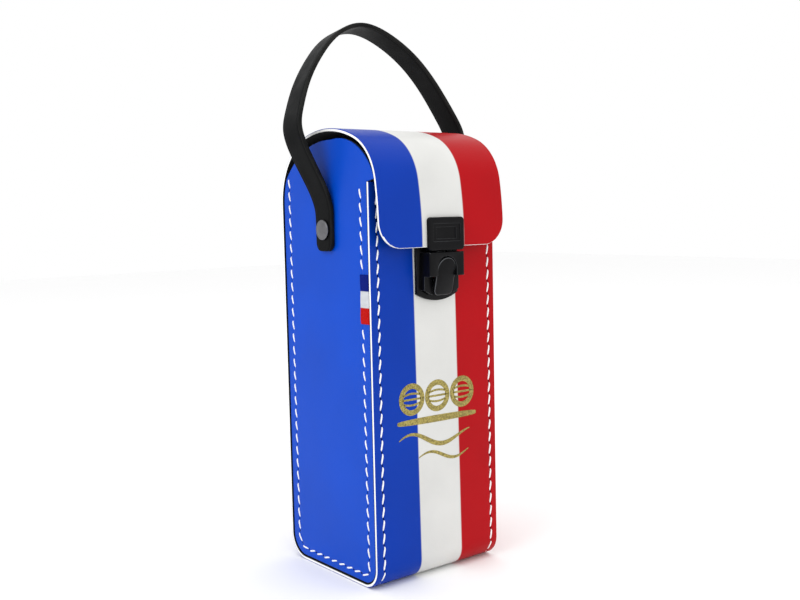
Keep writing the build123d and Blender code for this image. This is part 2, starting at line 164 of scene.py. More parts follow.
class SeamSettings(bpy.types.PropertyGroup):
    """Sizes and colour of the saddle stitches."""

    pitch: size("Pitch", "Distance from one stitch to the next on the sides", 7.3, 3.0, 15.0)
    length: size("Length", "Visible length of one stitch on the sides", 5.6, 2.0, 12.0)
    slant: size("Slant", "How far a side stitch runs across its row", 1.15, 0.0, 2.0)
    strip_pitch: size("Strip pitch", "Distance from one stitch to the next on the strip", 7.1, 3.0, 15.0)
    strip_length: size("Strip length", "Visible length of one stitch on the strip", 5.9, 2.0, 12.0)
    strip_slant: size("Strip slant", "How far a strip stitch runs across its row", 0.9, 0.0, 2.0)
    thickness: size("Thickness", "Thickness of the thread", 1.02, 0.4, 2.0)
    groove: size("Groove", "How deep the thread pulls the leather in", 0.3, 0.0, 0.8)
    thread: tint("Thread", "Waxed thread", "#FFFFFF")
    # Painted shade: dark lenses stand for the shade inside the awl holes.
    hole: tint("Hole", "Awl holes between the stitches", "#0B0E18")


class TrimSettings(bpy.types.PropertyGroup):
    """Colours of the lock, the rivets, the tag and the print."""

    plastic: tint("Plastic", "Lock", "#08080A")
    # Painted highlight: a lighter grey for the lock's edges.
    plastic_edge_highlight: tint("Plastic edge", "Rubbed edges of the lock", "#34363A")
    rivet: tint("Rivet", "Nickel-plated rivet", "#6C6C6F")
    steel: tint("Steel", "Bowls", "#A5A6A8")
    gold: tint("Gold", "Foil print", "#9A8D50")
    tag_navy: tint("Tag navy", "Upper band of the tag", "#001876")
    tag_white: tint("Tag white", "Middle band of the tag", "#CDD0D6")
    tag_red: tint("Tag red", "Lower band of the tag", "#BC0F08")


class StageSettings(bpy.types.PropertyGroup):
    """Camera, light and floor."""

    floor: tint("Floor", "Floor and background", "#FCFCFC")
    lens: FloatProperty(name="Lens", description="Focal length in mm", default=45.23, min=10, max=200)
    key: power("Key light", "Large light on the left", 2.6)
    overhead: power("Overhead light", "Large light above", 5.0)
    fill: power("Fill light", "Large light in front", 0.6)


class CaseSettings(bpy.types.PropertyGroup):
    """All settings of the carry case."""

    leather: PointerProperty(type=LeatherSettings)
    seam: PointerProperty(type=SeamSettings)
    trim: PointerProperty(type=TrimSettings)
    stage: PointerProperty(type=StageSettings)


# --- Meshes --------------------------------------------------------------------------------------


def linked(name, data):
    """A new object with this data, in the scene."""
    made = bpy.data.objects.new(name, data)
    bpy.context.scene.collection.objects.link(made)
    return made


def mesh_piece(name, points, faces, materials, index=None, smooth=40.0, uv=None):
    """A closed piece from points in millimetres: doubles merged, faces turned outwards."""
    mesh = bpy.data.meshes.new(name)
    mesh.from_pydata((np.asarray(points) * MM).tolist(), [], np.asarray(faces).tolist())
    for material in materials:
        mesh.materials.append(material)
    if index is not None:
        mesh.polygons.foreach_set("material_index", np.asarray(index, np.int32))
    if uv is not None:
        layer = mesh.uv_layers.new(name="UVMap")
        corner = np.zeros(len(mesh.loops), np.int32)
        mesh.loops.foreach_get("vertex_index", corner)
        layer.data.foreach_set("uv", np.asarray(uv, np.float32)[corner].ravel())
    shape = bmesh.new()
    shape.from_mesh(mesh)
    bmesh.ops.remove_doubles(shape, verts=shape.verts, dist=WELD)
    bmesh.ops.recalc_face_normals(shape, faces=shape.faces)
    shape.to_mesh(mesh)
    shape.free()
    mesh.polygons.foreach_set("use_smooth", np.ones(len(mesh.polygons), bool))
    mesh.set_sharp_from_angle(angle=np.radians(smooth))
    return linked(name, mesh)


def quads(a, b, c, d):
    """Four-cornered faces from four index grids of one shape."""
    return np.stack([a, b, c, d], -1).reshape(-1, 4)


def shell(outer, inner):
    """Body between two grids of one shape: the outer face (0), the inner face (1) and the rim (2)."""
    rows, columns = outer.shape[:2]
    top = np.arange(rows * columns).reshape(rows, columns)
    low = top + rows * columns
    parts = [
        quads(top[:-1, :-1], top[1:, :-1], top[1:, 1:], top[:-1, 1:]),
        quads(low[:-1, :-1], low[:-1, 1:], low[1:, 1:], low[1:, :-1]),
    ]
    rim = [quads(top[:-1, k], low[:-1, k], low[1:, k], top[1:, k]) for k in (0, -1)]
    rim += [quads(top[k, :-1], top[k, 1:], low[k, 1:], low[k, :-1]) for k in (0, -1)]
    parts.append(np.concatenate(rim))
    points = np.concatenate([outer.reshape(-1, 3), inner.reshape(-1, 3)])
    index = np.concatenate([np.full(len(part), number) for number, part in enumerate(parts)])
    return points, np.concatenate(parts), index


def tube(rings):
    """Points and faces of a tube whose rings are a grid's rows; it closes where a ring is a point."""
    rows, columns = rings.shape[:2]
    here = np.arange(rows * columns).reshape(rows, columns)
    beside = np.roll(here, -1, axis=1)
    faces = quads(here[:-1], beside[:-1], beside[1:], here[1:])
    return rings.reshape(-1, 3), faces


def joined(parts):
    """Several bodies, each points and faces, as one, and each body's number of faces."""
    points, faces = zip(*parts)
    first = np.cumsum([0] + [len(part) for part in points[:-1]])
    shifted = [part + start for part, start in zip(faces, first)]
    return np.concatenate(points), np.concatenate(shifted), [len(part) for part in faces]


def turned(profile, sides=48):
    """Profile of (radius, height) pairs carried round the Z axis: x = r cos a, y = r sin a, z = h."""
    angle = np.linspace(0, 2 * np.pi, sides, endpoint=False)
    radius, height = np.array(profile).T
    x, y = np.outer(radius, np.cos(angle)), np.outer(radius, np.sin(angle))
    return tube(np.stack([x, y, np.outer(height, np.ones(sides))], -1))


def run(start, heading, bends, step):
    """Line of straight and round runs, each a length and a turn: position is the start plus the heading
    summed along the way, and the heading turns by turn / length. Returns points (y, z), inward normals
    and the distance along."""
    points, normals, distance = [], [], []
    here, angle, gone = np.array(start, float), np.radians(heading), 0.0
    for length, turn in bends:
        s = np.linspace(0, length, max(2, int(np.ceil(length / step)) + 1))
        turn = np.radians(turn)
        if turn:
            radius = length / turn
            phi = angle + turn * s / length
            offset = radius * np.stack([np.sin(phi) - np.sin(angle), np.cos(angle) - np.cos(phi)], -1)
        else:
            phi = np.full_like(s, angle)
            offset = s[:, None] * np.array([np.cos(angle), np.sin(angle)])
        points.append(here + offset)
        normals.append(np.stack([-np.sin(phi), np.cos(phi)], -1))
        distance.append(gone + s)
        here, angle, gone = here + offset[-1], phi[-1], gone + length
    cuts = [slice(None)] + [slice(1, None)] * (len(points) - 1)
    return [np.concatenate([p[cut] for p, cut in zip(parts, cuts)]) for parts in (points, normals, distance)]


def arc_turn(radius, degrees):
    """A round run as (length, turn)."""
    return np.radians(degrees) * radius, degrees


def u_line(start, back, low, rounds, top, step, more=()):
    """A U from a start in front, down, along the bottom and up the back to a top height, with quarter
    circles of two radii as its corners, and further runs after it."""
    front_round, back_round = rounds
    runs = [
        (start[1] - low - front_round, 0),
        arc_turn(front_round, 90),
        (back - start[0] - front_round - back_round, 0),
        arc_turn(back_round, 90),
        (top - low - back_round, 0),
    ]
    return run(start, -90, [*runs, *more], step)


def three_point_arc(a, b, c, count):
    """Points on the circle through three points, from the first to the last."""
    a, b, c = (np.array(p, float) for p in (a, b, c))
    rows = 2 * np.array([b - a, c - a])
    centre = np.linalg.solve(rows, [b @ b - a @ a, c @ c - a @ a])
    first, last = (np.arctan2(*(p - centre)[::-1]) for p in (a, c))
    middle = np.arctan2(*(b - centre)[::-1])
    span = (last - first + np.pi) % (2 * np.pi) - np.pi
    halfway = (middle - first + np.pi) % (2 * np.pi) - np.pi
    if abs(halfway) > abs(span):
        span -= np.sign(span) * 2 * np.pi
    angle = first + span * np.linspace(0, 1, count)
    return centre + np.hypot(*(a - centre)) * np.stack([np.cos(angle), np.sin(angle)], -1)


LINE_PART = 200


def away(points, line):
    """Distance from each point of a grid to the nearest point of a finely divided line, which is taken
    in parts so that the arrays stay small."""
    flat = points.reshape(-1, 2)
    best = np.full(len(flat), np.inf)
    for part in np.array_split(line, max(1, len(line) // LINE_PART)):
        gap = np.hypot(flat[:, None, 0] - part[None, :, 0], flat[:, None, 1] - part[None, :, 1])
        best = np.minimum(best, gap.min(1))
    return best.reshape(points.shape[:-1])


def rounding(gap, radius):
    """How far a rounded edge has fallen at a distance from the edge: r - sqrt(r2 - (r - d)2)."""
    inside = np.clip(radius - gap, 0, radius)
    return radius - np.sqrt(radius**2 - inside**2)


# --- Materials -----------------------------------------------------------------------------------

FIRST, SECOND, COLOUR = 6, 7, 2  # colour sockets of a Mix node: two inputs and its output
BLEND = {"data_type": "RGBA"}
TINTED = {"data_type": "RGBA", "blend_type": "MULTIPLY"}


def node(tree, kind, inputs, output=0, **settings):
    """Adds one shader node and gives back one of its outputs: settings are its own, and inputs are
    values or outputs of other nodes to link to it."""
    made = tree.nodes.new("ShaderNode" + kind)
    for name, value in settings.items():
        setattr(made, name, value)
    for name, value in inputs.items():
        if isinstance(value, bpy.types.NodeSocket):
            tree.links.new(value, made.inputs[name])
        else:
            made.inputs[name].default_value = value
    return made.outputs[output]


def finish_of(name, **values):
    """A material with a Principled shader, whose constants are set on its own sockets. Gives back the
    material, its tree, the shader and the object coordinates."""
    material = bpy.data.materials.new(name)
    material.use_nodes = True
    tree = material.node_tree
    shader = next(n for n in tree.nodes if n.type == "BSDF_PRINCIPLED")
    for key, value in values.items():
        shader.inputs[key.replace("_", " ")].default_value = value
    return material, tree, shader, node(tree, "TexCoord", {}, "Object")


def plug(tree, shader, **outputs):
    """Links outputs to the shader's sockets of the same names."""
    for key, output in outputs.items():
        tree.links.new(output, shader.inputs[key.replace("_", " ")])


def shade(colour, factor=1.0):
    """A colour made darker or lighter, with full alpha."""
    return (*(min(1.0, part * factor) for part in colour[:3]), 1.0)


def blobs(width_mm):
    """Scale of a noise whose light and dark blobs are about this wide."""
    return 0.5 / (width_mm * MM)


def cells(width_mm):
    """Scale of a Voronoi pattern whose cells are this wide."""
    return 1 / (width_mm * MM)


def bands(spacing_mm):
    """Scale of a wave texture whose bands lie this far apart: its sine turns 20 radians per unit."""
    return 2 * np.pi / 20 / (spacing_mm * MM)


def mottled(name, colour, width_mm, noise, tones, span=(0.0, 1.0), matt=None, **values):
    """A finish whose colour and roughness follow one noise. The colour goes from one share of itself to
    another over a span of the noise, the roughness from one value to another over the noise's middle.
    Gives back what finish_of does, and the noise."""
    material, tree, shader, place = finish_of(name, **values)
    cloud = node(tree, "TexNoise", {"Vector": place, "Scale": blobs(width_mm), **noise})
    part = node(tree, "MapRange", {"Value": cloud, "From Min": span[0], "From Max": span[1]})
    mix = {"Factor": part, FIRST: shade(colour, tones[0]), SECOND: shade(colour, tones[1])}
    plug(tree, shader, Base_Color=node(tree, "Mix", mix, COLOUR, **BLEND))
    if matt:
        rough = {"Value": cloud, "From Min": 0.3, "From Max": 0.7, "To Min": matt[0], "To Max": matt[1]}
        plug(tree, shader, Roughness=node(tree, "MapRange", rough))
    return material, tree, shader, place, cloud


def coated_leather(name, colour_of, grain_mm):
    """Split leather under a smooth sprayed coat. The eye gets an even colour with slight clouding, a fine
    low grain that breaks up the highlight, and broad soft waves where the hide gives."""
    material, tree, shader, place = finish_of(
        name, IOR=1.5, Specular_IOR_Level=0.1, Coat_Weight=0.02, Coat_Roughness=0.22
    )
    cloud = node(tree, "TexNoise", {"Vector": place, "Scale": blobs(22.0), "Detail": 3.0})
    light = node(tree, "MapRange", {"Value": cloud, "From Min": 0.3, "From Max": 0.7})
    clouds = {"Factor": light, FIRST: (0.93, 0.93, 0.93, 1), SECOND: (1.05, 1.05, 1.05, 1)}
    clouding = node(tree, "Mix", clouds, COLOUR, **BLEND)
    base = {"Factor": 1.0, FIRST: colour_of(tree, place), SECOND: clouding}
    wave = node(tree, "TexNoise", {"Vector": place, "Scale": blobs(30.0), "Detail": 1.0})
    pore = node(tree, "TexVoronoi", {"Vector": place, "Scale": cells(grain_mm)}, feature="SMOOTH_F1")
    grain = node(tree, "TexNoise", {"Vector": place, "Scale": blobs(grain_mm * 0.8)})
    hide = node(tree, "Bump", {"Height": wave, "Distance": 0.5 * MM})
    pores = node(tree, "Bump", {"Height": pore, "Distance": 0.018 * MM, "Normal": hide})
    surface = node(tree, "Bump", {"Height": grain, "Distance": 0.02 * MM, "Normal": pores})
    matt = {"Value": cloud, "From Min": 0.2, "From Max": 0.8, "To Min": 0.32, "To Max": 0.41}
    plug(
        tree, shader,
        Base_Color=node(tree, "Mix", base, COLOUR, **TINTED),
        Roughness=node(tree, "MapRange", matt),
        Normal=surface,
    )
    return material


def three_bands(tree, place, edges, soft, colours):
    """Three colours along a place, which change at two edges within a soft width to either side."""
    mixed = shade(colours[0])
    for edge, following in zip(edges, colours[1:]):
        past = node(tree, "MapRange", {"Value": place, "From Min": edge - soft, "From Max": edge + soft})
        change = {"Factor": past, FIRST: mixed, SECOND: shade(following)}
        mixed = node(tree, "Mix", change, COLOUR, **BLEND)
    return mixed


def band_colour(settings):
    """Colour of the strip across X: blue, white and red, with a thin pale line painted along each change of
    band as a painted highlight. The bands aren't quite upright: the place across is x + lean * z - shift."""

    def colour(tree, place):
        x = node(tree, "SeparateXYZ", {0: place}, "X")
        z = node(tree, "SeparateXYZ", {0: place}, "Z")
        leaning = node(tree, "Math", {0: z, 1: BAND_LEAN, 2: x}, operation="MULTIPLY_ADD")
        across = node(tree, "Math", {0: leaning, 1: BAND_SHIFT * MM}, operation="SUBTRACT")
        edge, white = BAND_EDGE * MM, settings.strip_white
        colours = settings.strip_blue, white, settings.strip_red
        flag = three_bands(tree, across, (-edge, edge), 0.12 * MM, colours)
        # The thin pale line along both band edges is a painted highlight, mixed towards the white.
        reach = node(tree, "Math", {0: across}, operation="ABSOLUTE")
        past_edge = node(tree, "Math", {0: reach, 1: edge}, operation="SUBTRACT")
        gap = node(tree, "Math", {0: past_edge}, operation="ABSOLUTE")
        near = {"Value": gap, "From Min": 0.2 * MM, "From Max": 0.5 * MM, "To Min": 0.45, "To Max": 0.0}
        line = node(tree, "MapRange", near)
        return node(tree, "Mix", {"Factor": line, FIRST: flag, SECOND: shade(white)}, COLOUR, **BLEND)

    return colour


def side_colour(value):
    """One colour for a side panel, very slightly deeper in broad patches."""

    def colour(tree, place):
        patch = node(tree, "TexNoise", {"Vector": place, "Scale": blobs(60.0)})
        tones = {"Factor": patch, FIRST: shade(value), SECOND: shade(value, 0.96)}
        return node(tree, "Mix", tones, COLOUR, **BLEND)

    return colour


def raw_leather_edge(colour):
    """Cut leather edge sealed with white edge paint. The eye gets a pale matt line, slightly fibrous."""
    material, tree, shader, place, _ = mottled(
        "sealed_raw_edge", colour, 6.0, {"Detail": 3.0}, (1.0, 0.92), (0.35, 0.7), IOR=1.46, Roughness=0.62
    )
    fibre = node(tree, "TexNoise", {"Vector": place, "Scale": blobs(0.5), "Detail": 4.0, "Roughness": 0.65})
    plug(tree, shader, Normal=node(tree, "Bump", {"Height": fibre, "Distance": 0.06 * MM}))
    return material


def black_lining_and_edge_shade(colour):
    """Flesh side of the leather, black; the side panels also take it as painted shade along their edges. The
    eye gets a matt, fuzzy face with a short nap.
    """
    material, tree, shader, _, nap = mottled(
        "dyed_flesh_side", colour, 0.7, {"Detail": 5.0, "Roughness": 0.7}, (0.7, 1.5),
        IOR=1.45, Specular_IOR_Level=0.15, Roughness=0.85, Sheen_Weight=0.05, Sheen_Roughness=0.5,
    )
    plug(tree, shader, Normal=node(tree, "Bump", {"Height": nap, "Distance": 0.12 * MM}))
    return material


def strap_leather(colour, worn_colour):
    """Black waxed bridle leather. The eye gets a low shine over fine pores, and burnished lines along
    both edges that catch the light. The UV map gives the place across the strap in millimetres."""
    material, tree, shader, place = finish_of("waxed_bridle_leather", IOR=1.5, Specular_IOR_Level=0.055)
    across = node(tree, "SeparateXYZ", {0: node(tree, "UVMap", {})}, "X")
    reach = node(tree, "Math", {0: across}, operation="ABSOLUTE")
    edge = node(tree, "MapRange", {"Value": reach, "From Min": 7.0, "From Max": 7.7})
    handling = node(tree, "TexNoise", {"Vector": place, "Scale": blobs(5.0), "Detail": 3.0})
    patchy = {"Value": handling, "From Min": 0.35, "From Max": 0.65, "To Min": 0.35, "To Max": 1.0}
    rubbed = node(tree, "Math", {0: edge, 1: node(tree, "MapRange", patchy)}, operation="MULTIPLY")
    tones = {"Factor": rubbed, FIRST: shade(colour), SECOND: shade(worn_colour)}
    matt = {"Value": handling, "From Min": 0.3, "From Max": 0.7, "To Min": 0.42, "To Max": 0.56}
    pore = node(tree, "TexNoise", {"Vector": place, "Scale": blobs(0.5), "Detail": 3.0, "Roughness": 0.6})
    grain = node(tree, "TexVoronoi", {"Vector": place, "Scale": cells(1.1)}, feature="SMOOTH_F1")
    pores = node(tree, "Bump", {"Height": pore, "Distance": 0.03 * MM})
    plug(
        tree, shader,
        Base_Color=node(tree, "Mix", tones, COLOUR, **BLEND),
        Roughness=node(tree, "MapRange", matt),
        Normal=node(tree, "Bump", {"Height": grain, "Distance": 0.03 * MM, "Normal": pores}),
    )
    return material


def waxed_thread(colour):
    """Waxed polyester saddle thread. The eye gets soft white stitches whose twisted plies just show. Real
    plies lie about 0.5 mm apart; they are drawn 1.6 mm apart so that they show."""
    material, tree, shader, place = finish_of(
        "waxed_saddle_thread", IOR=1.5, Roughness=0.5, Sheen_Weight=0.1, Sheen_Roughness=0.4
    )
    twist = {"Vector": place, "Scale": bands(1.6), "Distortion": 1.0}
    plies = node(tree, "TexWave", twist, bands_direction="DIAGONAL")
    tones = {"Factor": plies, FIRST: shade(colour, 0.9), SECOND: shade(colour)}
    # The wave's first output is its colour, grey here, which also serves as a height.
    plug(
        tree, shader,
        Base_Color=node(tree, "Mix", tones, COLOUR, **BLEND),
        Normal=node(tree, "Bump", {"Height": plies, "Distance": 0.12 * MM}),
    )
    return material


def painted_hole_shade(colour):
    """Painted shade of an awl hole in the leather, on a flat lens. The eye gets a small dark gap between two
    stitches.
    """
    finish = {"Roughness": 0.9, "IOR": 1.45, "Specular_IOR_Level": 0.1}
    return mottled("awl_hole", colour, 0.6, {}, (0.5, 1.5), **finish)[0]


def moulded_plastic(name, colour, gloss):
    """Black ABS from a finely sparked mould. The eye gets a satin black with faint handling scuffs; the
    edges take a second, glossier copy whose lighter grey is a painted highlight."""
    scuffs = {"Detail": 5.0, "Roughness": 0.6}
    material, tree, shader, place, _ = mottled(
        name, colour, 3.0, scuffs, (1.0, 1.7), (0.45, 0.75), (0.3, 0.42), IOR=1.53, Specular_IOR_Level=gloss
    )
    spark = node(tree, "TexNoise", {"Vector": place, "Scale": blobs(0.35)})
    plug(tree, shader, Normal=node(tree, "Bump", {"Height": spark, "Distance": 0.012 * MM}))
    return material


def nickel_plate(colour):
    """Nickel plated brass, aged grey. The eye gets a dull metal with cloudy patina and a soft highlight."""
    patina = {"Detail": 4.0, "Roughness": 0.6}
    material, tree, shader, place, _ = mottled(
        "aged_nickel_plate", colour, 1.5, patina, (0.75, 1.3), matt=(0.28, 0.42), Metallic=1.0
    )
    grit = node(tree, "TexNoise", {"Vector": place, "Scale": blobs(0.3)})
    plug(tree, shader, Normal=node(tree, "Bump", {"Height": grit, "Distance": 0.01 * MM}))
    return material


def turned_steel(colour):
    """Satin turned carbon steel. The eye gets a bright ball with fine lathe rings round the upright axis
    and light clouding. Real rings are about 0.1 mm apart; they are drawn 1 mm apart so that they show."""
    material, tree, shader, place, _ = mottled(
        "satin_turned_steel", colour, 6.0, {"Detail": 4.0}, (0.82, 1.0), matt=(0.26, 0.38),
        Metallic=1.0, Anisotropic=0.4,
    )
    lathe = {"Vector": place, "Scale": bands(1.0), "Distortion": 0.2}
    rings = node(tree, "TexWave", lathe, "Fac", bands_direction="Z")
    plug(tree, shader, Normal=node(tree, "Bump", {"Height": rings, "Distance": 0.01 * MM}))
    return material


def woven_ribbon(settings, low, high):
    """Woven polyester ribbon in three bands. The eye gets fine cross ribs and, in the colours, threads
    that lie a little unevenly. Real ribs are about 0.25 mm apart; they are drawn 0.55 mm apart so that
    they show."""
    material, tree, shader, place = finish_of(
        "woven_polyester_ribbon", IOR=1.5, Specular_IOR_Level=0.04, Roughness=0.6, Sheen_Weight=0.01
    )
    height = node(tree, "SeparateXYZ", {0: place}, "Z")
    third = (high - low) / 3
    edges = (low + third) * MM, (high - third) * MM
    colours = settings.tag_red, settings.tag_white, settings.tag_navy
    flag = three_bands(tree, height, edges, 0.2 * MM, colours)
    weft = {"Vector": place, "Scale": bands(0.55), "Distortion": 0.3}
    ribs = node(tree, "TexWave", weft, "Fac", bands_direction="Z")
    warp = node(tree, "TexWave", {**weft, "Scale": bands(0.4)}, "Fac", bands_direction="Y")
    weave = node(tree, "Math", {0: ribs, 1: warp}, operation="MULTIPLY")
    stretched = node(tree, "Mapping", {"Vector": place, "Scale": (1.0, 0.3, 1.0)})
    slub = node(tree, "TexNoise", {"Vector": stretched, "Scale": blobs(1.1), "Detail": 3.0})
    uneven = node(tree, "Math", {0: slub, 1: 0.6, 2: 0.2}, operation="MULTIPLY_ADD")
    light = node(tree, "Math", {0: weave, 1: 0.35, 2: uneven}, operation="MULTIPLY_ADD")
    threads = {"Factor": light, FIRST: (0.7, 0.7, 0.7, 1), SECOND: (1.12, 1.12, 1.12, 1)}
    base = {"Factor": 1.0, FIRST: flag, SECOND: node(tree, "Mix", threads, COLOUR, **BLEND)}
    plug(
        tree, shader,
        Base_Color=node(tree, "Mix", base, COLOUR, **TINTED),
        Normal=node(tree, "Bump", {"Height": weave, "Distance": 0.1 * MM}),
    )
    return material


def gold_foil(colour):
    """Glitter foil print. The eye gets flat gold flakes, each light or dark by its own tilt. Real flakes
    are about 0.2 mm wide; they are drawn 0.55 mm wide so that they show."""
    material, tree, shader, place = finish_of("gold_glitter_foil", Metallic=0.75)
    flakes = node(tree, "TexVoronoi", {"Vector": place, "Scale": cells(0.55)}, "Color")
    spark = node(tree, "SeparateColor", {0: flakes})
    tones = {"Factor": spark, FIRST: shade(colour, 0.55), SECOND: shade(colour, 1.55)}
    matt = {"Value": spark, "To Min": 0.35, "To Max": 0.6}
    plug(
        tree, shader,
        Base_Color=node(tree, "Mix", tones, COLOUR, **BLEND),
        Roughness=node(tree, "MapRange", matt),
        Normal=node(tree, "Bump", {"Height": spark, "Distance": 0.1 * MM}),
    )
    return material


def paper_floor(colour):
    """Seamless white studio paper. The eye gets a matt floor with a very faint tooth."""
    material, tree, shader, _, tooth = mottled(
        "studio_paper", colour, 2.0, {"Detail": 3.0}, (0.985, 1.0), Roughness=0.9, IOR=1.45
    )
    plug(tree, shader, Normal=node(tree, "Bump", {"Height": tooth, "Distance": 0.02 * MM}))
    return material


# --- Leather pieces ------------------------------------------------------------------------------


def strip_materials():
    """Materials of the strip: the banded coat, the black flesh side and the white raw edge."""
    settings = bpy.context.scene.carry_case.leather
    found = bpy.data.materials.get
    return [
        found("banded_coated_leather")
        or coated_leather("banded_coated_leather", band_colour(settings), settings.grain / MM),
        found("dyed_flesh_side") or black_lining_and_edge_shade(settings.lining_and_edge_shade),
        found("sealed_raw_edge") or raw_leather_edge(settings.raw_edge),
    ]


# Distances from the strip's edges, in mm, at which its grid has columns: close together where the edge
# is rounded and where the seam's groove lies, 4.6 mm in.
EDGE_COLUMNS = np.array(
    [0, 0.06, 0.16, 0.3, 0.5, 1.0, 2.0, 3.0, 3.5, 3.85, 4.1, 4.35, 4.6, 4.85, 5.1, 5.35, 5.7, 6.2, 7.2]
)
EDGE_ROUND = 0.42
MIDDLE_COLUMNS = 21  # even columns between those of both edges
FLESH_AND_SHADE, RAW = 1, 2  # the places of the inner face's material, also painted shade on the side panels, and the edge's material, after the coat's
EDGE_PAINT, EDGE_SHADE = 0.2, 0.4  # how far edge paint reaches onto the outer face, and how far painted shade reaches in from the side panels' edges
CASE_STEP, LID_STEP = 0.75, 0.5  # how finely both lines are divided; every second point has a row
FLAP_ROWS = 26  # rows over the flap's rounded corners
FLAP_END = np.array([0.03, 0.3, 0.6])  # and further rows this far from its end


def strip_grid(curve, corner, free, span, groove):
    """Outer and inner grid of a stretch of the strip, and each place's distance from a free edge. The
    curve's two ends are free, and so rounded, or not, and the seam's groove follows a span of it. Across,
    columns lie at fixed distances from both edges with even ones between; the outer face is the line
    moved inwards by the rounding of its edges and by the groove under the stitches, which is
    g exp(-((d - 4.6) / 0.6)^2) at a distance d from the edge. Within a corner radius of the free end the
    half width is hw - r + sqrt(r^2 - (r - e)^2)."""
    line, normals, along = curve
    left = along[-1] - along
    half = HALF_WIDTH - (rounding(left, corner) if corner else np.zeros_like(along))
    near = half[:, None] - EDGE_COLUMNS
    middle = (half - EDGE_COLUMNS[-1])[:, None] * np.linspace(-1, 1, MIDDLE_COLUMNS + 2)[1:-1]
    x = np.concatenate([-near, middle, near[:, ::-1]], 1)
    side = HALF_WIDTH - np.abs(x)
    gap = half[:, None] - np.abs(x)
    if corner:
        round_gap = corner - np.hypot(corner - side, (corner - left)[:, None])
        inside = (side < corner) & (left < corner)[:, None]
        gap = np.where(inside, np.maximum(round_gap, 0), gap)
    for is_free, distance in zip(free, (along, left)):
        if is_free:
            gap = np.minimum(gap, distance[:, None])
    edge = rounding(np.maximum(gap, 0), EDGE_ROUND)
    start, end = (along - span[0]) / GROOVE_FADE, (span[1] - along) / GROOVE_FADE
    from_seam = side - (HALF_WIDTH - WRAP_SEAM_X)
    ends = (np.clip(start, 0, 1) * np.clip(end, 0, 1))[:, None]
    pull = groove * ends * np.exp(-((from_seam / GROOVE_WIDTH) ** 2))

    def lift(depth):
        place = line[:, None, :] + depth[..., None] * normals[:, None, :]
        return np.concatenate([x[..., None], place], -1)

    return lift(edge + pull), lift(LEATHER - edge), gap


def painted(index, gap, reach, number):
    """Gives the outer faces that lie within a reach of the edge another material."""
    corners = (gap[:-1, :-1] + gap[1:, :-1] + gap[1:, 1:] + gap[:-1, 1:]) / 4
    near = corners.ravel() < reach
    index[: near.size][near] = number
    return index


def close_to_ends(values, ends=(0.06, 0.16, 0.3, 0.5, 1.0)):
    """Adds places a little inside both ends of a stretch, so that their edges can be rounded."""
    low, high = values[0], values[-1]
    return np.unique(np.concatenate([values, low + np.array(ends), high - np.array(ends)]))


def resample(line, normals, along, places):
    """A line's points and normals at other distances along it."""
    point = np.stack([np.interp(places, along, line[:, k]) for k in (0, 1)], -1)
    normal = np.stack([np.interp(places, along, normals[:, k]) for k in (0, 1)], -1)
    return point, normal / np.linalg.norm(normal, axis=1)[:, None], places


def case_line(top, step, more=()):
    """The strip's outside from the front's top edge round the bottom and up the back to a height."""
    return u_line((FRONT, FRONT_HEIGHT), BACK, 0.0, (FRONT_CORNER, BACK_CORNER), top, step, more)


def lid_line(step):
    """The strip's outside from the split on the back, up, over the shoulder and down to the flap's end."""
    bends = [(BACK_STRAIGHT - BACK_SPLIT, 0)] + [arc_turn(radius, turn) for radius, turn in LID_BENDS]
    return run((BACK, BACK_SPLIT), 90, bends, step)


class CARRYCASE_OT_strip(bpy.types.Operator):
    """Front, bottom and back of the case and the lid, as banded leather with raw edges"""

    bl_idname = "carry_case.strip"
    bl_label = "Strip and lid"

    def execute(self, context):
        groove = context.scene.carry_case.seam.groove / MM
        materials = strip_materials()
        line, normals, along = case_line(BACK_SPLIT, CASE_STEP)
        places = close_to_ends(np.unique(np.r_[along[::2], along[-1]]))
        curve = resample(line, normals, along, places)
        outer, inner, _ = strip_grid(curve, 0, (True, False), (GROOVE_START, np.inf), groove)
        points, faces, index = shell(outer, inner)
        body = mesh_piece("case_strip", points, faces, materials, index)
        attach(body, "case")
        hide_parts("wrap_panel")

        line, normals, along = lid_line(LID_STEP)
        total = along[-1]
        round_end = total - FLAP_CORNER * (1 - np.cos(np.linspace(0, np.pi / 2, FLAP_ROWS)))
        even = along[along < total - FLAP_CORNER][::2]
        places = np.unique(np.concatenate([even, round_end, total - FLAP_END]))
        curve = resample(line, normals, along, places)
        seam_end = BACK_STRAIGHT - BACK_SPLIT + arc_turn(LID_BENDS[0][0], WRAP_SEAM_BEND)[0]
        outer, inner, gap = strip_grid(curve, FLAP_CORNER, (False, True), (-np.inf, seam_end), groove)
        points, faces, index = shell(outer, inner)
        low_end = np.where(places[:, None] > total - FLAP_CORNER / 2, gap, np.inf)
        index = painted(index, low_end, EDGE_PAINT, RAW)
        lid = mesh_piece("lid_strip", points, faces, materials, index)
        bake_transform(lid)
        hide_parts("lid_flap")
        return {"FINISHED"}


# The side panels: degrees of the shoulder's circle and its gap to the lid, the radii of their outer and
# inner edges, and the distances from the edge at which their grid is close together.
SHOULDER_TURN, SHOULDER_GAP = 23.2, 0.25
PANEL_ROUND, PANEL_INNER_ROUND = 0.6, 0.2
PANEL_EDGE_STEPS = np.array([0, 0.06, 0.16, 0.3, 0.45, 0.7, 1.1])
CORNER_POINTS, ARC_POINTS, SHOULDER_POINTS = 120, 400, 80  # points of the outline's round parts


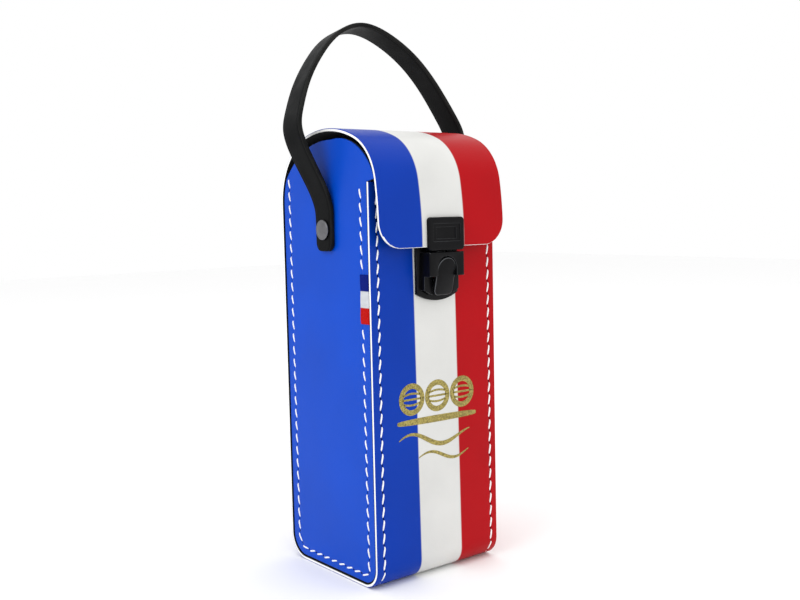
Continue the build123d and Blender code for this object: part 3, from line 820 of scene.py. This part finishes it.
def panel_outline():
    """Front and back edge of a side panel as (y, z) lines from the bottom up, and the arch's highest
    point. Both lower corners are quarter circles, the shoulder is a circle inside the lid's, and the
    arch is two circles that meet on top."""
    quarter = np.linspace(0, np.pi / 2, CORNER_POINTS)
    front_round, back_round = FRONT_CORNER - PANEL_LOW, BACK_CORNER - PANEL_LOW
    sideways, upwards = 1 - np.sin(quarter), 1 - np.cos(quarter)
    front_corner = np.stack([-PANEL_EDGE + front_round * sideways, PANEL_LOW + front_round * upwards], -1)
    back_corner = np.stack([PANEL_EDGE - back_round * sideways, PANEL_LOW + back_round * upwards], -1)
    front_arc = three_point_arc(ARCH[4], ARCH[3], ARCH[2], ARC_POINTS)
    back_arc = three_point_arc(ARCH[2], ARCH[1], ARCH[0], ARC_POINTS)
    arch = np.concatenate([front_arc, back_arc[1:]])
    top = int(np.argmax(arch[:, 1]))
    turn = np.linspace(0, np.radians(SHOULDER_TURN), SHOULDER_POINTS)
    radius = LID_BENDS[0][0] - LEATHER - SHOULDER_GAP
    centre = BACK - LID_BENDS[0][0]
    shoulder = np.stack([centre + radius * np.cos(turn), BACK_STRAIGHT + radius * np.sin(turn)], -1)
    left = np.concatenate([front_corner, [NOTCH], arch[: top + 1]])
    right = np.concatenate([back_corner, shoulder, arch[top:][::-1]])
    return left, right, arch[top]


def dense(line, step=0.4):
    """The same line with points no further apart than a step."""
    gaps = np.r_[0, np.cumsum(np.hypot(*np.diff(line, axis=0).T))]
    places = np.linspace(0, gaps[-1], int(gaps[-1] / step) + 2)
    return np.stack([np.interp(places, gaps, line[:, k]) for k in (0, 1)], -1)


def side_seam_line(step):
    """The U of a side panel's seam, from the front's top round the bottom to the back's top."""
    start = (-SEAM_REACH, SEAM_TOP_FRONT)
    return u_line(start, SEAM_REACH, SEAM_LOW, SEAM_ROUNDS, SEAM_TOP_BACK, step)


def wrap_seam_line(step):
    """The strip's seam, from the front's top down, under the case, up the back and onto the shoulder."""
    return case_line(BACK_STRAIGHT, step, [arc_turn(LID_BENDS[0][0], WRAP_SEAM_BEND)])


def panel_grid():
    """Places (y, z) of a side panel's grid and their distances from its outline. Rows lie close together
    at the bottom, over the step in the front edge and towards the arch's top, columns over both seams."""
    left, right, peak = panel_outline()
    low_end = PANEL_LOW + np.r_[PANEL_EDGE_STEPS, np.arange(1.5, 13, 0.5)]
    straight = np.arange(PANEL_LOW + 13.5, NOTCH[1] - 0.5, 1.0)
    step_up = NOTCH[1] + np.array([0, 0.15, 0.4])
    arch = ARCH[-1][1] + (peak[1] - ARCH[-1][1]) * np.sin(np.linspace(0, np.pi / 2, 60))
    heights = np.unique(np.r_[low_end, straight, step_up, arch])
    front = np.interp(heights, left[:, 1], left[:, 0])
    back = np.interp(heights, right[:, 1], right[:, 0])
    front[-1] = back[-1] = peak[0]
    fine = np.r_[PANEL_EDGE_STEPS, np.arange(1.5, 9.6, 0.4)] / (2 * PANEL_EDGE)
    share = np.r_[fine, np.linspace(fine[-1], 1 - fine[-1], 52)[1:-1], 1 - fine[::-1]]
    y = front[:, None] + (back - front)[:, None] * share
    place = np.stack([y, np.broadcast_to(heights[:, None], y.shape)], -1)
    outline = [dense(np.concatenate([left, right[::-1][1:]])), dense(np.array([left[0], right[0]]))]
    gap = away(place, np.concatenate(outline))
    gap[:, 0] = gap[:, -1] = gap[0] = gap[-1] = 0
    return place, gap


class CARRYCASE_OT_sides(bpy.types.Operator):
    """Both side panels, with rounded edges, painted shade along them, and a seam pulled into the leather"""

    bl_idname = "carry_case.sides"
    bl_label = "Side panels"

    def execute(self, context):
        settings = context.scene.carry_case
        place, gap = panel_grid()
        seam = side_seam_line(1.0)[0]
        pull = settings.seam.groove / MM * np.exp(-((away(place, seam) / GROOVE_WIDTH) ** 2))
        sink = rounding(gap, PANEL_ROUND) + pull
        # Painted shade: below the arch, the outer face within a short reach of the edge takes the black
        # inner face's material, for the shade in the gap to the strip, and the rim takes it too.
        edge_shade_gap = np.where(place[..., 1] < NOTCH[1], gap, np.inf)
        lining_and_edge_shade = strip_materials()[FLESH_AND_SHADE]
        for name, side in (("left", -1), ("right", 1)):
            colour = side_colour(getattr(settings.leather, f"{name}_side"))
            coat = coated_leather(f"coated_leather_{name}", colour, settings.leather.grain / MM)
            outer = np.concatenate([(side * (PANEL_OUTER - sink))[..., None], place], -1)
            under = side * (PANEL_OUTER - LEATHER + rounding(gap, PANEL_INNER_ROUND))
            inner = np.concatenate([under[..., None], place], -1)
            points, faces, index = shell(outer, inner)
            index = painted(index, edge_shade_gap, EDGE_SHADE, FLESH_AND_SHADE)
            panel = mesh_piece(f"side_skin_{name}", points, faces, [coat, lining_and_edge_shade, lining_and_edge_shade], index)
            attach(panel, "case")
            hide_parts(f"side_panel_{name}")
        return {"FINISHED"}


# --- Stitches ------------------------------------------------------------------------------------

# How far along each row its first stitch lies, how far the thread is raised out of its groove, how far it
# sinks under the case as a share of its thickness, and how far below and above the tag none are seen.
SIDE_START, STRIP_START = 2.0, 9.0
THREAD_LIFT, UNDER_SINK = 0.12, 0.8
TAG_BELOW, TAG_ABOVE = 3.4, 3.0


def one_stitch(length, thickness, slant):
    """One stitch at the origin, along X: its middle line is a flat S, its width swells towards the middle
    and closes as sqrt(1 - |u|^6) at the ends, which dive into the leather."""
    u = np.array([-1.0, -0.97, -0.86, -0.6, -0.2, 0.2, 0.6, 0.86, 0.97, 1.0])[:, None]
    angle = np.linspace(0, 2 * np.pi, 8, endpoint=False)
    radius = thickness / 2 * np.sqrt(np.clip(1 - np.abs(u) ** 6, 0, 1)) * (1 - 0.2 * u**2)
    along = u * length / 2 + 0 * angle
    across = slant / 2 * np.sin(u * np.pi / 2) + radius * np.cos(angle)
    height = thickness * (0.2 - 0.5 * np.abs(u) ** 5) + 0.85 * radius * np.sin(angle)
    return tube(np.stack([along, across, height], -1))


def one_hole_shade(thickness):
    """A small flat lens of painted shade, standing for the dark hole between two stitches: a low turned cap,
    stretched along the row.
    """
    points, faces = turned([(0, -0.1), (0.5 * thickness, -0.1), (0.5 * thickness, 0.0), (0, 0.03)], 8)
    return points * np.array([1.3, 0.85, 1.0]), faces


def spread(template, centre, along, out, sink):
    """Copies of a template in frames on a surface: centre + a * along + b * (out x along) + c * out."""
    points, faces = template
    across = np.cross(out, along)
    placed = (
        centre[:, None, :]
        + points[None, :, 0:1] * along[:, None, :]
        + points[None, :, 1:2] * across[:, None, :]
        + (points[None, :, 2:3] - sink[:, None, None]) * out[:, None, :]
    )
    shift = (np.arange(len(centre)) * len(points))[:, None, None]
    return placed.reshape(-1, 3), (faces[None] + shift).reshape(-1, 4)


def seam_frames(line, normals, along, start, pitch):
    """Centres, headings and inward normals every pitch along a line."""
    places = np.arange(start, along[-1], pitch)
    centre, inward, _ = resample(line, normals, along, places)
    return centre, np.stack([inward[:, 1], -inward[:, 0]], -1), inward


def in_space(flat, x=0.0):
    """Points or directions (y, z) with an x."""
    return np.concatenate([np.full((len(flat), 1), x), flat], 1)


class CARRYCASE_OT_stitches(bpy.types.Operator):
    """Saddle stitches with dark lenses of painted shade for their holes, round both side panels and along
    both edges of the strip
    """

    bl_idname = "carry_case.stitches"
    bl_label = "Stitches"

    def execute(self, context):
        seam = context.scene.carry_case.seam
        thick, groove = seam.thickness / MM, seam.groove / MM
        side_pitch, strip_pitch = seam.pitch / MM, seam.strip_pitch / MM
        threads = [waxed_thread(seam.thread), painted_hole_shade(seam.hole)]
        tag_low, tag_high = (corner.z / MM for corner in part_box("flag_tag"))
        side_line, strip_line = side_seam_line(SEAM_STEP), wrap_seam_line(SEAM_STEP)
        for name, side in (("left", -1), ("right", 1)):
            rows, numbers = [], []
            stitch = one_stitch(seam.length / MM, thick, -side * seam.slant / MM)
            strip_stitch = one_stitch(seam.strip_length / MM, thick, -seam.strip_slant / MM)
            hole = one_hole_shade(thick)
            # Between the stitches, half a pitch on, dark lenses of painted shade stand for the holes.
            for shift, on_side, on_strip, number in ((0.0, stitch, strip_stitch, 0), (0.5, hole, hole, 1)):
                centre, heading, _ = seam_frames(*side_line, SIDE_START + shift * side_pitch, side_pitch)
                beside_tag = (centre[:, 1] > tag_low - TAG_BELOW) & (centre[:, 1] < tag_high + TAG_ABOVE)
                keep = (side > 0) | (centre[:, 0] > 0) | ~beside_tag
                spots = in_space(centre[keep], side * (PANEL_OUTER - groove))
                out = np.broadcast_to([side, 0.0, 0.0], spots.shape)
                sink = np.full(len(spots), -THREAD_LIFT)
                rows.append(spread(on_side, spots, in_space(heading[keep]), out, sink))
                start = STRIP_START + shift * strip_pitch
                centre, heading, inward = seam_frames(*strip_line, start, strip_pitch)
                spots = in_space(centre + groove * inward, side * WRAP_SEAM_X)
                # Under the case the thread lies deeper, so that the case still stands on its leather.
                sink = UNDER_SINK * thick * np.clip(inward[:, 1], 0, 1) - THREAD_LIFT
                rows.append(spread(on_strip, spots, in_space(heading), in_space(-inward), sink))
                numbers += [number, number]
            points, faces, counts = joined(rows)
            index = np.repeat(numbers, counts)
            piece = mesh_piece(f"stitches_{name}", points, faces, threads, index, smooth=70)
            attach(piece, "case")
            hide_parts(f"seam_thread_{name}")
        return {"FINISHED"}


# --- Handle --------------------------------------------------------------------------------------

# The strap's middle line in mm: its distance from the case's middle, the knots of one leg from the rivet
# (x from the strap's flat part, y and z from the rivet), and the top of the loop.
STRAP_MIDDLE = 44.1
LEG = np.array(
    [
        (4.3, 3.0, 26.4), (10.9, 6.2, 42.6), (12.8, 9.2, 54.6), (9.5, 12.0, 64.6),
        (1.8, 15.9, 79.6), (-9.9, 19.6, 95.3), (-25.4, 24.2, 108.3),
    ]
)
LOOP_TOP = (0.0, 22.8, 304.7)
LOOP_RINGS = 240
LOOP_LEAN = 6.1  # degrees that the strap's front edge stands higher than its back edge on the loop
LOOP_TWIST = 0.07  # how far the strap is turned sideways there, across for each unit back
TWIST_FROM, TWIST_OVER = 35.0, 50.0  # that turn starts at this height over the rivet and grows over this
STRAP_HALF, STRAP_THICK = 8.0, 2.4
STRAP_ROUND = 0.75
STRAP_COLUMNS = np.array([0, 2.5, 5.0, 6.2, 6.55, 6.8, 7.05, 7.4, 7.7, 7.9, STRAP_HALF])  # from its middle
CREASE_AT, CREASE_WIDTH, CREASE_DEEP = 6.8, 0.28, 0.16  # from the strap's middle, and its section
TAPER = (0.91, 1.06, 45.0)  # width at the rivets and on the loop, as shares, and the height between them
STRAP_FLAT = 7.6  # height over the rivet where the strap leaves the side
TAIL, TAIL_CORNER, TAIL_EDGE = 11.5, 5.0, 0.6  # its end below the rivet, and that end's radii
TAIL_RINGS = 18  # rings over the rounded corners; above them there is one every 2 mm


def smooth_line(points, start, end, count):
    """Cubic through all points with given end directions: the slopes solve the three-term equations that
    make the bend continuous, and each span is the usual Hermite cubic."""
    span = np.linalg.norm(np.diff(points, axis=0), axis=1)
    knots_in_all = len(points)
    system = np.zeros((knots_in_all, knots_in_all))
    right = np.zeros((knots_in_all, 3))
    system[0, 0] = system[-1, -1] = 1
    right[0], right[-1] = start, end
    k = np.arange(1, knots_in_all - 1)
    system[k, k - 1] = span[1:]
    system[k, k] = 2 * (span[:-1] + span[1:])
    system[k, k + 1] = span[:-1]
    steps = np.diff(points, axis=0) / span[:, None]
    right[1:-1] = 3 * (span[1:, None] * steps[:-1] + span[:-1, None] * steps[1:])
    slope = np.linalg.solve(system, right)
    knots = np.r_[0, np.cumsum(span)]
    t = np.linspace(0, knots[-1], count)
    i = np.clip(np.searchsorted(knots, t, side="right") - 1, 0, knots_in_all - 2)
    h = span[i][:, None]
    u = ((t - knots[i]) / span[i])[:, None]
    return (
        points[i] * (1 + 2 * u) * (1 - u) ** 2
        + points[i + 1] * u**2 * (3 - 2 * u)
        + slope[i] * h * u * (1 - u) ** 2
        + slope[i + 1] * h * u**2 * (u - 1)
    )


def strap_profile():
    """One turn round the strap's section, as places across and out: flat with rounded edges and a creased
    line near each edge, whose depth is c exp(-((x - at) / width)^2)."""
    crease = CREASE_DEEP * np.exp(-(((STRAP_COLUMNS - CREASE_AT) / CREASE_WIDTH) ** 2))
    top = STRAP_THICK / 2 - rounding(STRAP_HALF - STRAP_COLUMNS, STRAP_ROUND) - crease
    face = np.concatenate([-STRAP_COLUMNS[::-1], STRAP_COLUMNS[1:]])
    height = np.concatenate([top[::-1], top[1:]])
    return np.concatenate([face, face[::-1]]), np.concatenate([height, -height[::-1]])


class CARRYCASE_OT_handle(bpy.types.Operator):
    """The strap handle, a rounded leather section carried along its loop"""

    bl_idname = "carry_case.handle"
    bl_label = "Strap handle"

    def execute(self, context):
        settings = context.scene.carry_case.leather
        pivot_y, pivot_z = PIVOT
        mirror = np.array([-1, 1, 1])
        leg = LEG + np.array([STRAP_MIDDLE, pivot_y, pivot_z])
        foot = np.array([(STRAP_MIDDLE, pivot_y, pivot_z + STRAP_FLAT)])
        knots = np.concatenate([foot, leg, [LOOP_TOP], leg[::-1] * mirror, foot * mirror])
        loop = smooth_line(knots, (0, 0, 1), (0, 0, -1), LOOP_RINGS)
        round_end = TAIL_CORNER * (1 - np.cos(np.linspace(0, np.pi / 2, TAIL_RINGS)))
        end = np.r_[0, round_end, np.arange(7, TAIL + STRAP_FLAT - 0.1, 2.0)]
        tail = np.array([STRAP_MIDDLE, pivot_y, pivot_z - TAIL]) + end[:, None] * np.array([0, 0, 1])
        line = np.concatenate([tail, loop, tail[::-1] * mirror])
        heading = np.gradient(line, axis=0)
        heading[: len(end)] = (0, 0, 1)
        heading[-len(end) :] = (0, 0, -1)
        heading /= np.linalg.norm(heading, axis=1)[:, None]
        angle = np.radians(LOOP_LEAN)
        twist = LOOP_TWIST * np.clip((line[:, 2] - pivot_z - TWIST_FROM) / TWIST_OVER, 0, 1)
        lean = twist[:, None] * np.array([1, 0, 0]) + np.array([0, np.cos(angle), -np.sin(angle)])
        across = lean - heading * (heading * lean).sum(1)[:, None]
        across /= np.linalg.norm(across, axis=1)[:, None]
        out = np.cross(across, heading)
        # The end is cut straight with rounded corners and thins at its edge; its first ring closes it. The
        # strap is narrow at the rivets and widens evenly up to the loop.
        width = 1 - rounding(end, TAIL_CORNER) / STRAP_HALF
        slim = 1 - rounding(end, TAIL_EDGE) / (STRAP_THICK / 2)
        width[0] = slim[0] = 0
        narrow, wide, rise = TAPER
        taper = narrow + (wide - narrow) * np.clip((line[:, 2] - pivot_z) / rise, 0, 1)
        scale = (np.concatenate([width, np.ones(len(loop)), width[::-1]]) * taper)[:, None]
        thin = np.concatenate([slim, np.ones(len(loop)), slim[::-1]])[:, None]
        side, height = strap_profile()
        sideways = (scale * side)[..., None] * across[:, None, :]
        outwards = (thin * height)[..., None] * out[:, None, :]
        points, faces = tube(line[:, None, :] + sideways + outwards)
        gone = np.r_[0, np.cumsum(np.linalg.norm(np.diff(line, axis=0), axis=1))]
        uv = np.stack([np.tile(side, len(line)), np.repeat(gone, len(side))], -1)
        leather = strap_leather(settings.strap, settings.strap_worn)
        strap = mesh_piece("strap", points, faces, [leather], smooth=55, uv=uv)
        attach(strap, "handle")
        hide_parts("handle_strap")
        return {"FINISHED"}


# --- Trim ----------------------------------------------------------------------------------------

# Half sections in mm of a rivet's inner head and shank, from its inner end, and of its cap, from the
# strap's face: (radius, height).
RIVET_SHANK = ((0, 0), (2.4, 0), (2.85, 0.15), (3, 0.4), (3, 0.7), (2, 0.7))
RIVET_CAP = (
    (2, 0), (5.1, 0), (5.4, 0.15), (5.5, 0.45), (5.45, 0.8), (5.2, 1.1), (4.85, 1.22), (4.5, 1.16),
    (4.3, 1.1), (4.1, 1.16), (3.5, 1.33), (2.4, 1.5), (1.2, 1.58), (0, 1.6),
)


def dress(name, material):
    """Gives a CAD node its material."""
    NODES[name].data.materials.clear()
    NODES[name].data.materials.append(material)


class CARRYCASE_OT_rivets(bpy.types.Operator):
    """Handle rivets with a rolled rim and a slightly domed cap"""

    bl_idname = "carry_case.rivets"
    bl_label = "Rivets"

    def execute(self, context):
        metal = nickel_plate(context.scene.carry_case.trim.rivet)
        for name, side in (("left", -1), ("right", 1)):
            low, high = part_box(f"handle_rivet_{name}")
            inner, outer = sorted((abs(low.x) / MM, abs(high.x) / MM))
            cap = outer - RIVET_CAP[-1][1]
            profile = [(r, inner + h) for r, h in RIVET_SHANK] + [(r, cap + h) for r, h in RIVET_CAP]
            points, faces = turned(profile, 56)
            placed = np.stack([side * points[:, 2], points[:, 0] + PIVOT[0], points[:, 1] + PIVOT[1]], -1)
            rivet = mesh_piece(f"rivet_{name}", placed, faces, [metal], smooth=50)
            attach(rivet, "handle_rivets")
            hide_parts(f"handle_rivet_{name}")
        for cad in ("rivet_washer_left", "rivet_washer_right", "lock_base_rivets", "lock_flap_rivets"):
            dress(cad, metal)
        return {"FINISHED"}


# The tag in mm: its thickness at the edge, how far it bulges and within what distance of its edges, and
# how deep its swells and how wide its sway are.
TAG_THICK, TAG_BULGE, TAG_RISE = 0.25, 0.5, 0.5
TAG_SWELL, TAG_SWAY = 0.12, 0.18


class CARRYCASE_OT_tag(bpy.types.Operator):
    """The woven tag in the left front seam, a folded ribbon that bulges a little"""

    bl_idname = "carry_case.tag"
    bl_label = "Woven tag"

    def execute(self, context):
        low, high = (np.array(corner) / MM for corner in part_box("flag_tag"))
        across, up = np.meshgrid(np.linspace(0, 1, 20), np.linspace(0, 1, 60))
        width, height = high[1] - low[1], high[2] - low[2]
        edge = np.minimum(np.minimum(across, 1 - across) * width, np.minimum(up, 1 - up) * height)
        # The ribbon rises as a square root within a short way of its edges and has three soft swells along
        # its height, sin^2 of 9 up + 2 across; its free edge sways as one sine. It keeps 0.1 and 0.2 mm
        # from the CAD tag's edges.
        rise = TAG_BULGE * np.clip(edge / TAG_RISE, 0, 1) ** 0.5
        bulge = TAG_THICK + rise - TAG_SWELL * np.sin(up * 9.0 + across * 2) ** 2
        sway = TAG_SWAY * np.sin(up * 6.3 + 0.6) * across
        place = np.stack([low[1] + 0.1 + across * (width - 0.3) + sway, low[2] + up * height], -1)
        outer = np.concatenate([(high[0] - 0.05 - bulge)[..., None], place], -1)
        inner = np.concatenate([np.full_like(bulge, high[0] - 0.02)[..., None], place], -1)
        points, faces, _ = shell(outer, inner)
        ribbon = woven_ribbon(context.scene.carry_case.trim, low[2], high[2])
        tag = mesh_piece("woven_tag", points, faces, [ribbon], smooth=60)
        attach(tag, "case")
        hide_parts("flag_tag")
        return {"FINISHED"}


CAD_WELD = 2e-6  # metres within which a CAD node's corners are one
FLAT_WITHIN, EDGE_FROM = 1.0, 35.0  # degrees up to which two faces are one, and from which they make an edge


def softened(cad, body, materials, width):
    """A copy of a CAD node with moulded edges: doubles merged, flat faces joined, and a bevel on its edges,
    which takes the second material, on the lock a painted highlight."""
    mesh = NODES[cad].data.copy()
    shape = bmesh.new()
    shape.from_mesh(mesh)
    bmesh.ops.remove_doubles(shape, verts=shape.verts, dist=CAD_WELD)
    flat = np.radians(FLAT_WITHIN)
    bmesh.ops.dissolve_limit(shape, angle_limit=flat, verts=shape.verts, edges=shape.edges)
    shape.to_mesh(mesh)
    shape.free()
    mesh.name = f"{cad}_soft"
    mesh.materials.clear()
    for material in materials:
        mesh.materials.append(material)
    mesh.polygons.foreach_set("use_smooth", np.ones(len(mesh.polygons), bool))
    piece = linked(f"{cad}_soft", mesh)
    if width:
        bevel = piece.modifiers.new("edges", "BEVEL")
        bevel.width, bevel.segments = width * MM, 2
        bevel.limit_method, bevel.angle_limit = "ANGLE", np.radians(EDGE_FROM)
        bevel.harden_normals = True
        bevel.material = len(materials) - 1
    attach(piece, body)
    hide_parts(cad)
    return piece


class CARRYCASE_OT_lock(bpy.types.Operator):
    """The slide lock, its moulded parts with softened edges that carry a painted highlight"""

    bl_idname = "carry_case.lock"
    bl_label = "Lock"

    def execute(self, context):
        trim = context.scene.carry_case.trim
        plastic = [
            moulded_plastic("moulded_black_abs", trim.plastic, 0.1),
            # The edges' copy is lighter: a painted highlight.
            moulded_plastic("rubbed_abs_edge", trim.plastic_edge_highlight, 0.5),
        ]
        for cad, body, width in (
            ("lock_base_plate", "case", 0.3),
            ("lock_housing", "case", 0.4),
            ("lock_backing_plate", "case", 0.2),
            ("lock_slider", "lock_slider_body", 0.35),
            ("lock_flap_plate", "lid", 0.35),
            ("lock_flap_clamp", "lid", 0.2),
        ):
            softened(cad, body, plastic, width)
        wire = bpy.data.materials.get("satin_turned_steel") or turned_steel(trim.steel)
        springs = softened("lock_springs", "case", [wire], 0.0)
        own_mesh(springs)
        return {"FINISHED"}


class CARRYCASE_OT_bowls(bpy.types.Operator):
    """The steel bowls' finish"""

    bl_idname = "carry_case.bowls"
    bl_label = "Bowls"

    def execute(self, context):
        colour = context.scene.carry_case.trim.steel
        steel = bpy.data.materials.get("satin_turned_steel") or turned_steel(colour)
        for number in (1, 2, 3):
            dress(f"bowl_{number}", steel)
        return {"FINISHED"}


# The print on the front in mm: the bowls' places across, their height, radius and bands, and for each
# stroke below them where it starts and ends, its thinnest and widest width, and its height and swing.
BOWLS_X, BOWLS_Z = (-17.8, 0.0, 17.8), 99.6
RING, RING_WIDTH, BAND_WIDTH, BAND_STEP, BAND_SAG = 7.2, 3.0, 1.1, 3.1, 0.9
GROUND = (-28.0, 28.0, 1.2, 3.8, 87.4, -0.6)
UPPER_FLOURISH = (-27.0, 23.0, 0.5, 2.6, 76.3, 4.8)
LOWER_FLOURISH = (-14.0, 22.0, 0.4, 1.9, 66.6, 2.8)
FOIL_OUT, FOIL_IN = 0.07, 0.05  # how far the foil stands out of the leather and reaches into it


def flat_ring(centre, radius, width, sides=72):
    """A flat band round a centre, as grids of x and z: radius from r - w / 2 to r + w / 2."""
    angle = np.linspace(0, 2 * np.pi, sides)[:, None]
    reach = radius + np.array([-width / 2, width / 2])
    return centre[0] + reach * np.cos(angle), centre[1] + reach * np.sin(angle)


def stroke(x, z, width):
    """A flat band along a line, as grids of x and z: the line moved by half its width to either side."""
    heading = np.stack([np.gradient(x), np.gradient(z)], -1)
    heading /= np.linalg.norm(heading, axis=1)[:, None]
    half = np.broadcast_to(width, x.shape) / 2
    x_side, z_side = -heading[:, 1] * half, heading[:, 0] * half
    return np.stack([x - x_side, x + x_side], -1), np.stack([z - z_side, z + z_side], -1)


class CARRYCASE_OT_print(bpy.types.Operator):
    """A plain gold print on the front: three banded bowls on a ground line over two flourishes"""

    bl_idname = "carry_case.print"
    bl_label = "Gold print"

    def execute(self, context):
        t = np.linspace(0, 1, 60)
        swell = np.sin(np.pi * t)
        u = np.linspace(-1, 1, 24)
        shapes = []
        for x in BOWLS_X:
            shapes.append(flat_ring((x, BOWLS_Z), RING, RING_WIDTH))
            for band in (-1, 0, 1):
                reach = (RING - 1) * np.sqrt(1 - (band * 0.42) ** 2)
                height = BOWLS_Z + band * (BAND_STEP - BAND_SAG * u**2)
                shapes.append(stroke(x + reach * u, height, BAND_WIDTH))
        # Each stroke swells from its thin ends: the ground line, which is straight, quickly, and the
        # flourishes as a sine. They wave as sines too, the upper one less and less to the right.
        for (start, end, thin, wide, height, swing), wave, width in (
            (GROUND, t, swell**0.35),
            (UPPER_FLOURISH, np.sin(2.2 * np.pi * t + 0.4) * (1 - 0.45 * t), swell),
            (LOWER_FLOURISH, np.sin(2.0 * np.pi * t + 0.2), swell),
        ):
            x = start + (end - start) * t
            shapes.append(stroke(x, height + swing * wave, thin + (wide - thin) * width))
        bodies = []
        for x, z in shapes:
            front = np.stack([x, np.full_like(x, FRONT - FOIL_OUT), z], -1)
            back = np.stack([x, np.full_like(x, FRONT + FOIL_IN), z], -1)
            bodies.append(shell(front, back)[:2])
        points, faces, _ = joined(bodies)
        foil = gold_foil(context.scene.carry_case.trim.gold)
        gold = mesh_piece("gold_print", points, faces, [foil])
        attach(gold, "case")
        return {"FINISHED"}


# --- Stage ---------------------------------------------------------------------------------------

CAMERA_PLACE = (-0.34865, -0.45329, 0.19898)  # metres
CAMERA_TURN = (-38.26, 4.99, -1.26)  # degrees to the side, down and about its own axis
AIM = (0.0, 0.0, 0.13)  # metres; what the lights look at
FLOOR_HALF, FLOOR_THICK = 3000.0, 5.0  # mm
# Lights: name, and place and width in metres.
LIGHTS = (
    ("key", (-0.9, -0.15, 0.8), 0.6),
    ("overhead", (0.1, -0.25, 1.5), 1.6),
    ("fill", (0.35, -1.2, 0.5), 0.8),
)


def area_light(name, place, watts, width):
    """A soft square light that looks at the object."""
    data = bpy.data.lights.new(name, "AREA")
    data.size, data.energy = width, watts
    lamp = linked(name, data)
    lamp.location = place
    lamp.rotation_euler = (Vector(AIM) - Vector(place)).to_track_quat("-Z", "Y").to_euler()


class CARRYCASE_OT_stage(bpy.types.Operator):
    """Camera, soft light and a pale floor"""

    bl_idname = "carry_case.stage"
    bl_label = "Stage"

    def execute(self, context):
        scene = context.scene
        settings = scene.carry_case.stage
        yaw, pitch, roll = np.radians(CAMERA_TURN)
        forward = np.array([-np.sin(yaw) * np.cos(pitch), np.cos(yaw) * np.cos(pitch), -np.sin(pitch)])
        right = np.array([np.cos(yaw), np.sin(yaw), 0.0])
        up = np.cross(right, forward)
        place = np.eye(4)
        place[:3, 0] = np.cos(roll) * right + np.sin(roll) * up
        place[:3, 1] = np.cos(roll) * up - np.sin(roll) * right
        place[:3, 2] = -forward
        place[:3, 3] = CAMERA_PLACE
        data = bpy.data.cameras.new("camera")
        data.lens, data.sensor_width, data.sensor_fit = settings.lens, 36.0, "HORIZONTAL"
        data.clip_start = 0.01
        camera = linked("camera", data)
        camera.matrix_world = Matrix(place.tolist())
        scene.camera = camera

        x, y = np.meshgrid([-FLOOR_HALF, FLOOR_HALF], [-FLOOR_HALF, FLOOR_HALF])
        top = np.stack([x, y, np.zeros_like(x)], -1)
        points, faces, _ = shell(top, top - np.array([0, 0, FLOOR_THICK]))
        mesh_piece("floor", points, faces, [paper_floor(settings.floor)])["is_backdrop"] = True

        world = scene.world or bpy.data.worlds.new("world")
        scene.world = world
        world.use_nodes = True
        background = next(n for n in world.node_tree.nodes if n.type == "BACKGROUND")
        background.inputs["Color"].default_value = (1, 1, 1, 1)
        background.inputs["Strength"].default_value = 1.0
        for name, spot, width in LIGHTS:
            area_light(name, spot, getattr(settings, name), width)
        scene.view_settings.view_transform = "Standard"
        return {"FINISHED"}


class CARRYCASE_PT_panel(bpy.types.Panel):
    """Sidebar panel that lists the carry case's operators and settings"""

    bl_idname = "CARRYCASE_PT_panel"
    bl_label = "Carry Case"
    bl_space_type = "VIEW_3D"
    bl_region_type = "UI"
    bl_category = "Carry Case"

    def draw(self, context):
        layout = self.layout
        for operator in OPERATORS:
            layout.operator(operator.bl_idname)
        settings = context.scene.carry_case
        for group in (settings.leather, settings.seam, settings.trim, settings.stage):
            column = layout.column(align=True)
            for name in group.bl_rna.properties.keys():
                if name not in ("rna_type", "name"):
                    column.prop(group, name)


SETTINGS = (LeatherSettings, SeamSettings, TrimSettings, StageSettings, CaseSettings)
OPERATORS = (
    CARRYCASE_OT_strip,
    CARRYCASE_OT_sides,
    CARRYCASE_OT_stitches,
    CARRYCASE_OT_handle,
    CARRYCASE_OT_rivets,
    CARRYCASE_OT_tag,
    CARRYCASE_OT_lock,
    CARRYCASE_OT_bowls,
    CARRYCASE_OT_print,
    CARRYCASE_OT_stage,
)


def register():
    """Registers the settings, the operators and the panel."""
    for kind in (*SETTINGS, *OPERATORS, CARRYCASE_PT_panel):
        bpy.utils.register_class(kind)
    bpy.types.Scene.carry_case = PointerProperty(type=CaseSettings)


def unregister():
    """Takes them away again."""
    del bpy.types.Scene.carry_case
    for kind in reversed((*SETTINGS, *OPERATORS, CARRYCASE_PT_panel)):
        bpy.utils.unregister_class(kind)


def main():
    """Builds everything in order."""
    register()
    bpy.ops.carry_case.strip()
    bpy.ops.carry_case.sides()
    bpy.ops.carry_case.stitches()
    bpy.ops.carry_case.handle()
    bpy.ops.carry_case.rivets()
    bpy.ops.carry_case.tag()
    bpy.ops.carry_case.lock()
    bpy.ops.carry_case.bowls()
    bpy.ops.carry_case.print()
    bpy.ops.carry_case.stage()
    boxes = {"cad": CAD_BOX, "visual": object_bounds()}
    boxes = {name: [list(map(float, corner)) for corner in pair] for name, pair in boxes.items()}


if __name__ == "__main__":
    main()
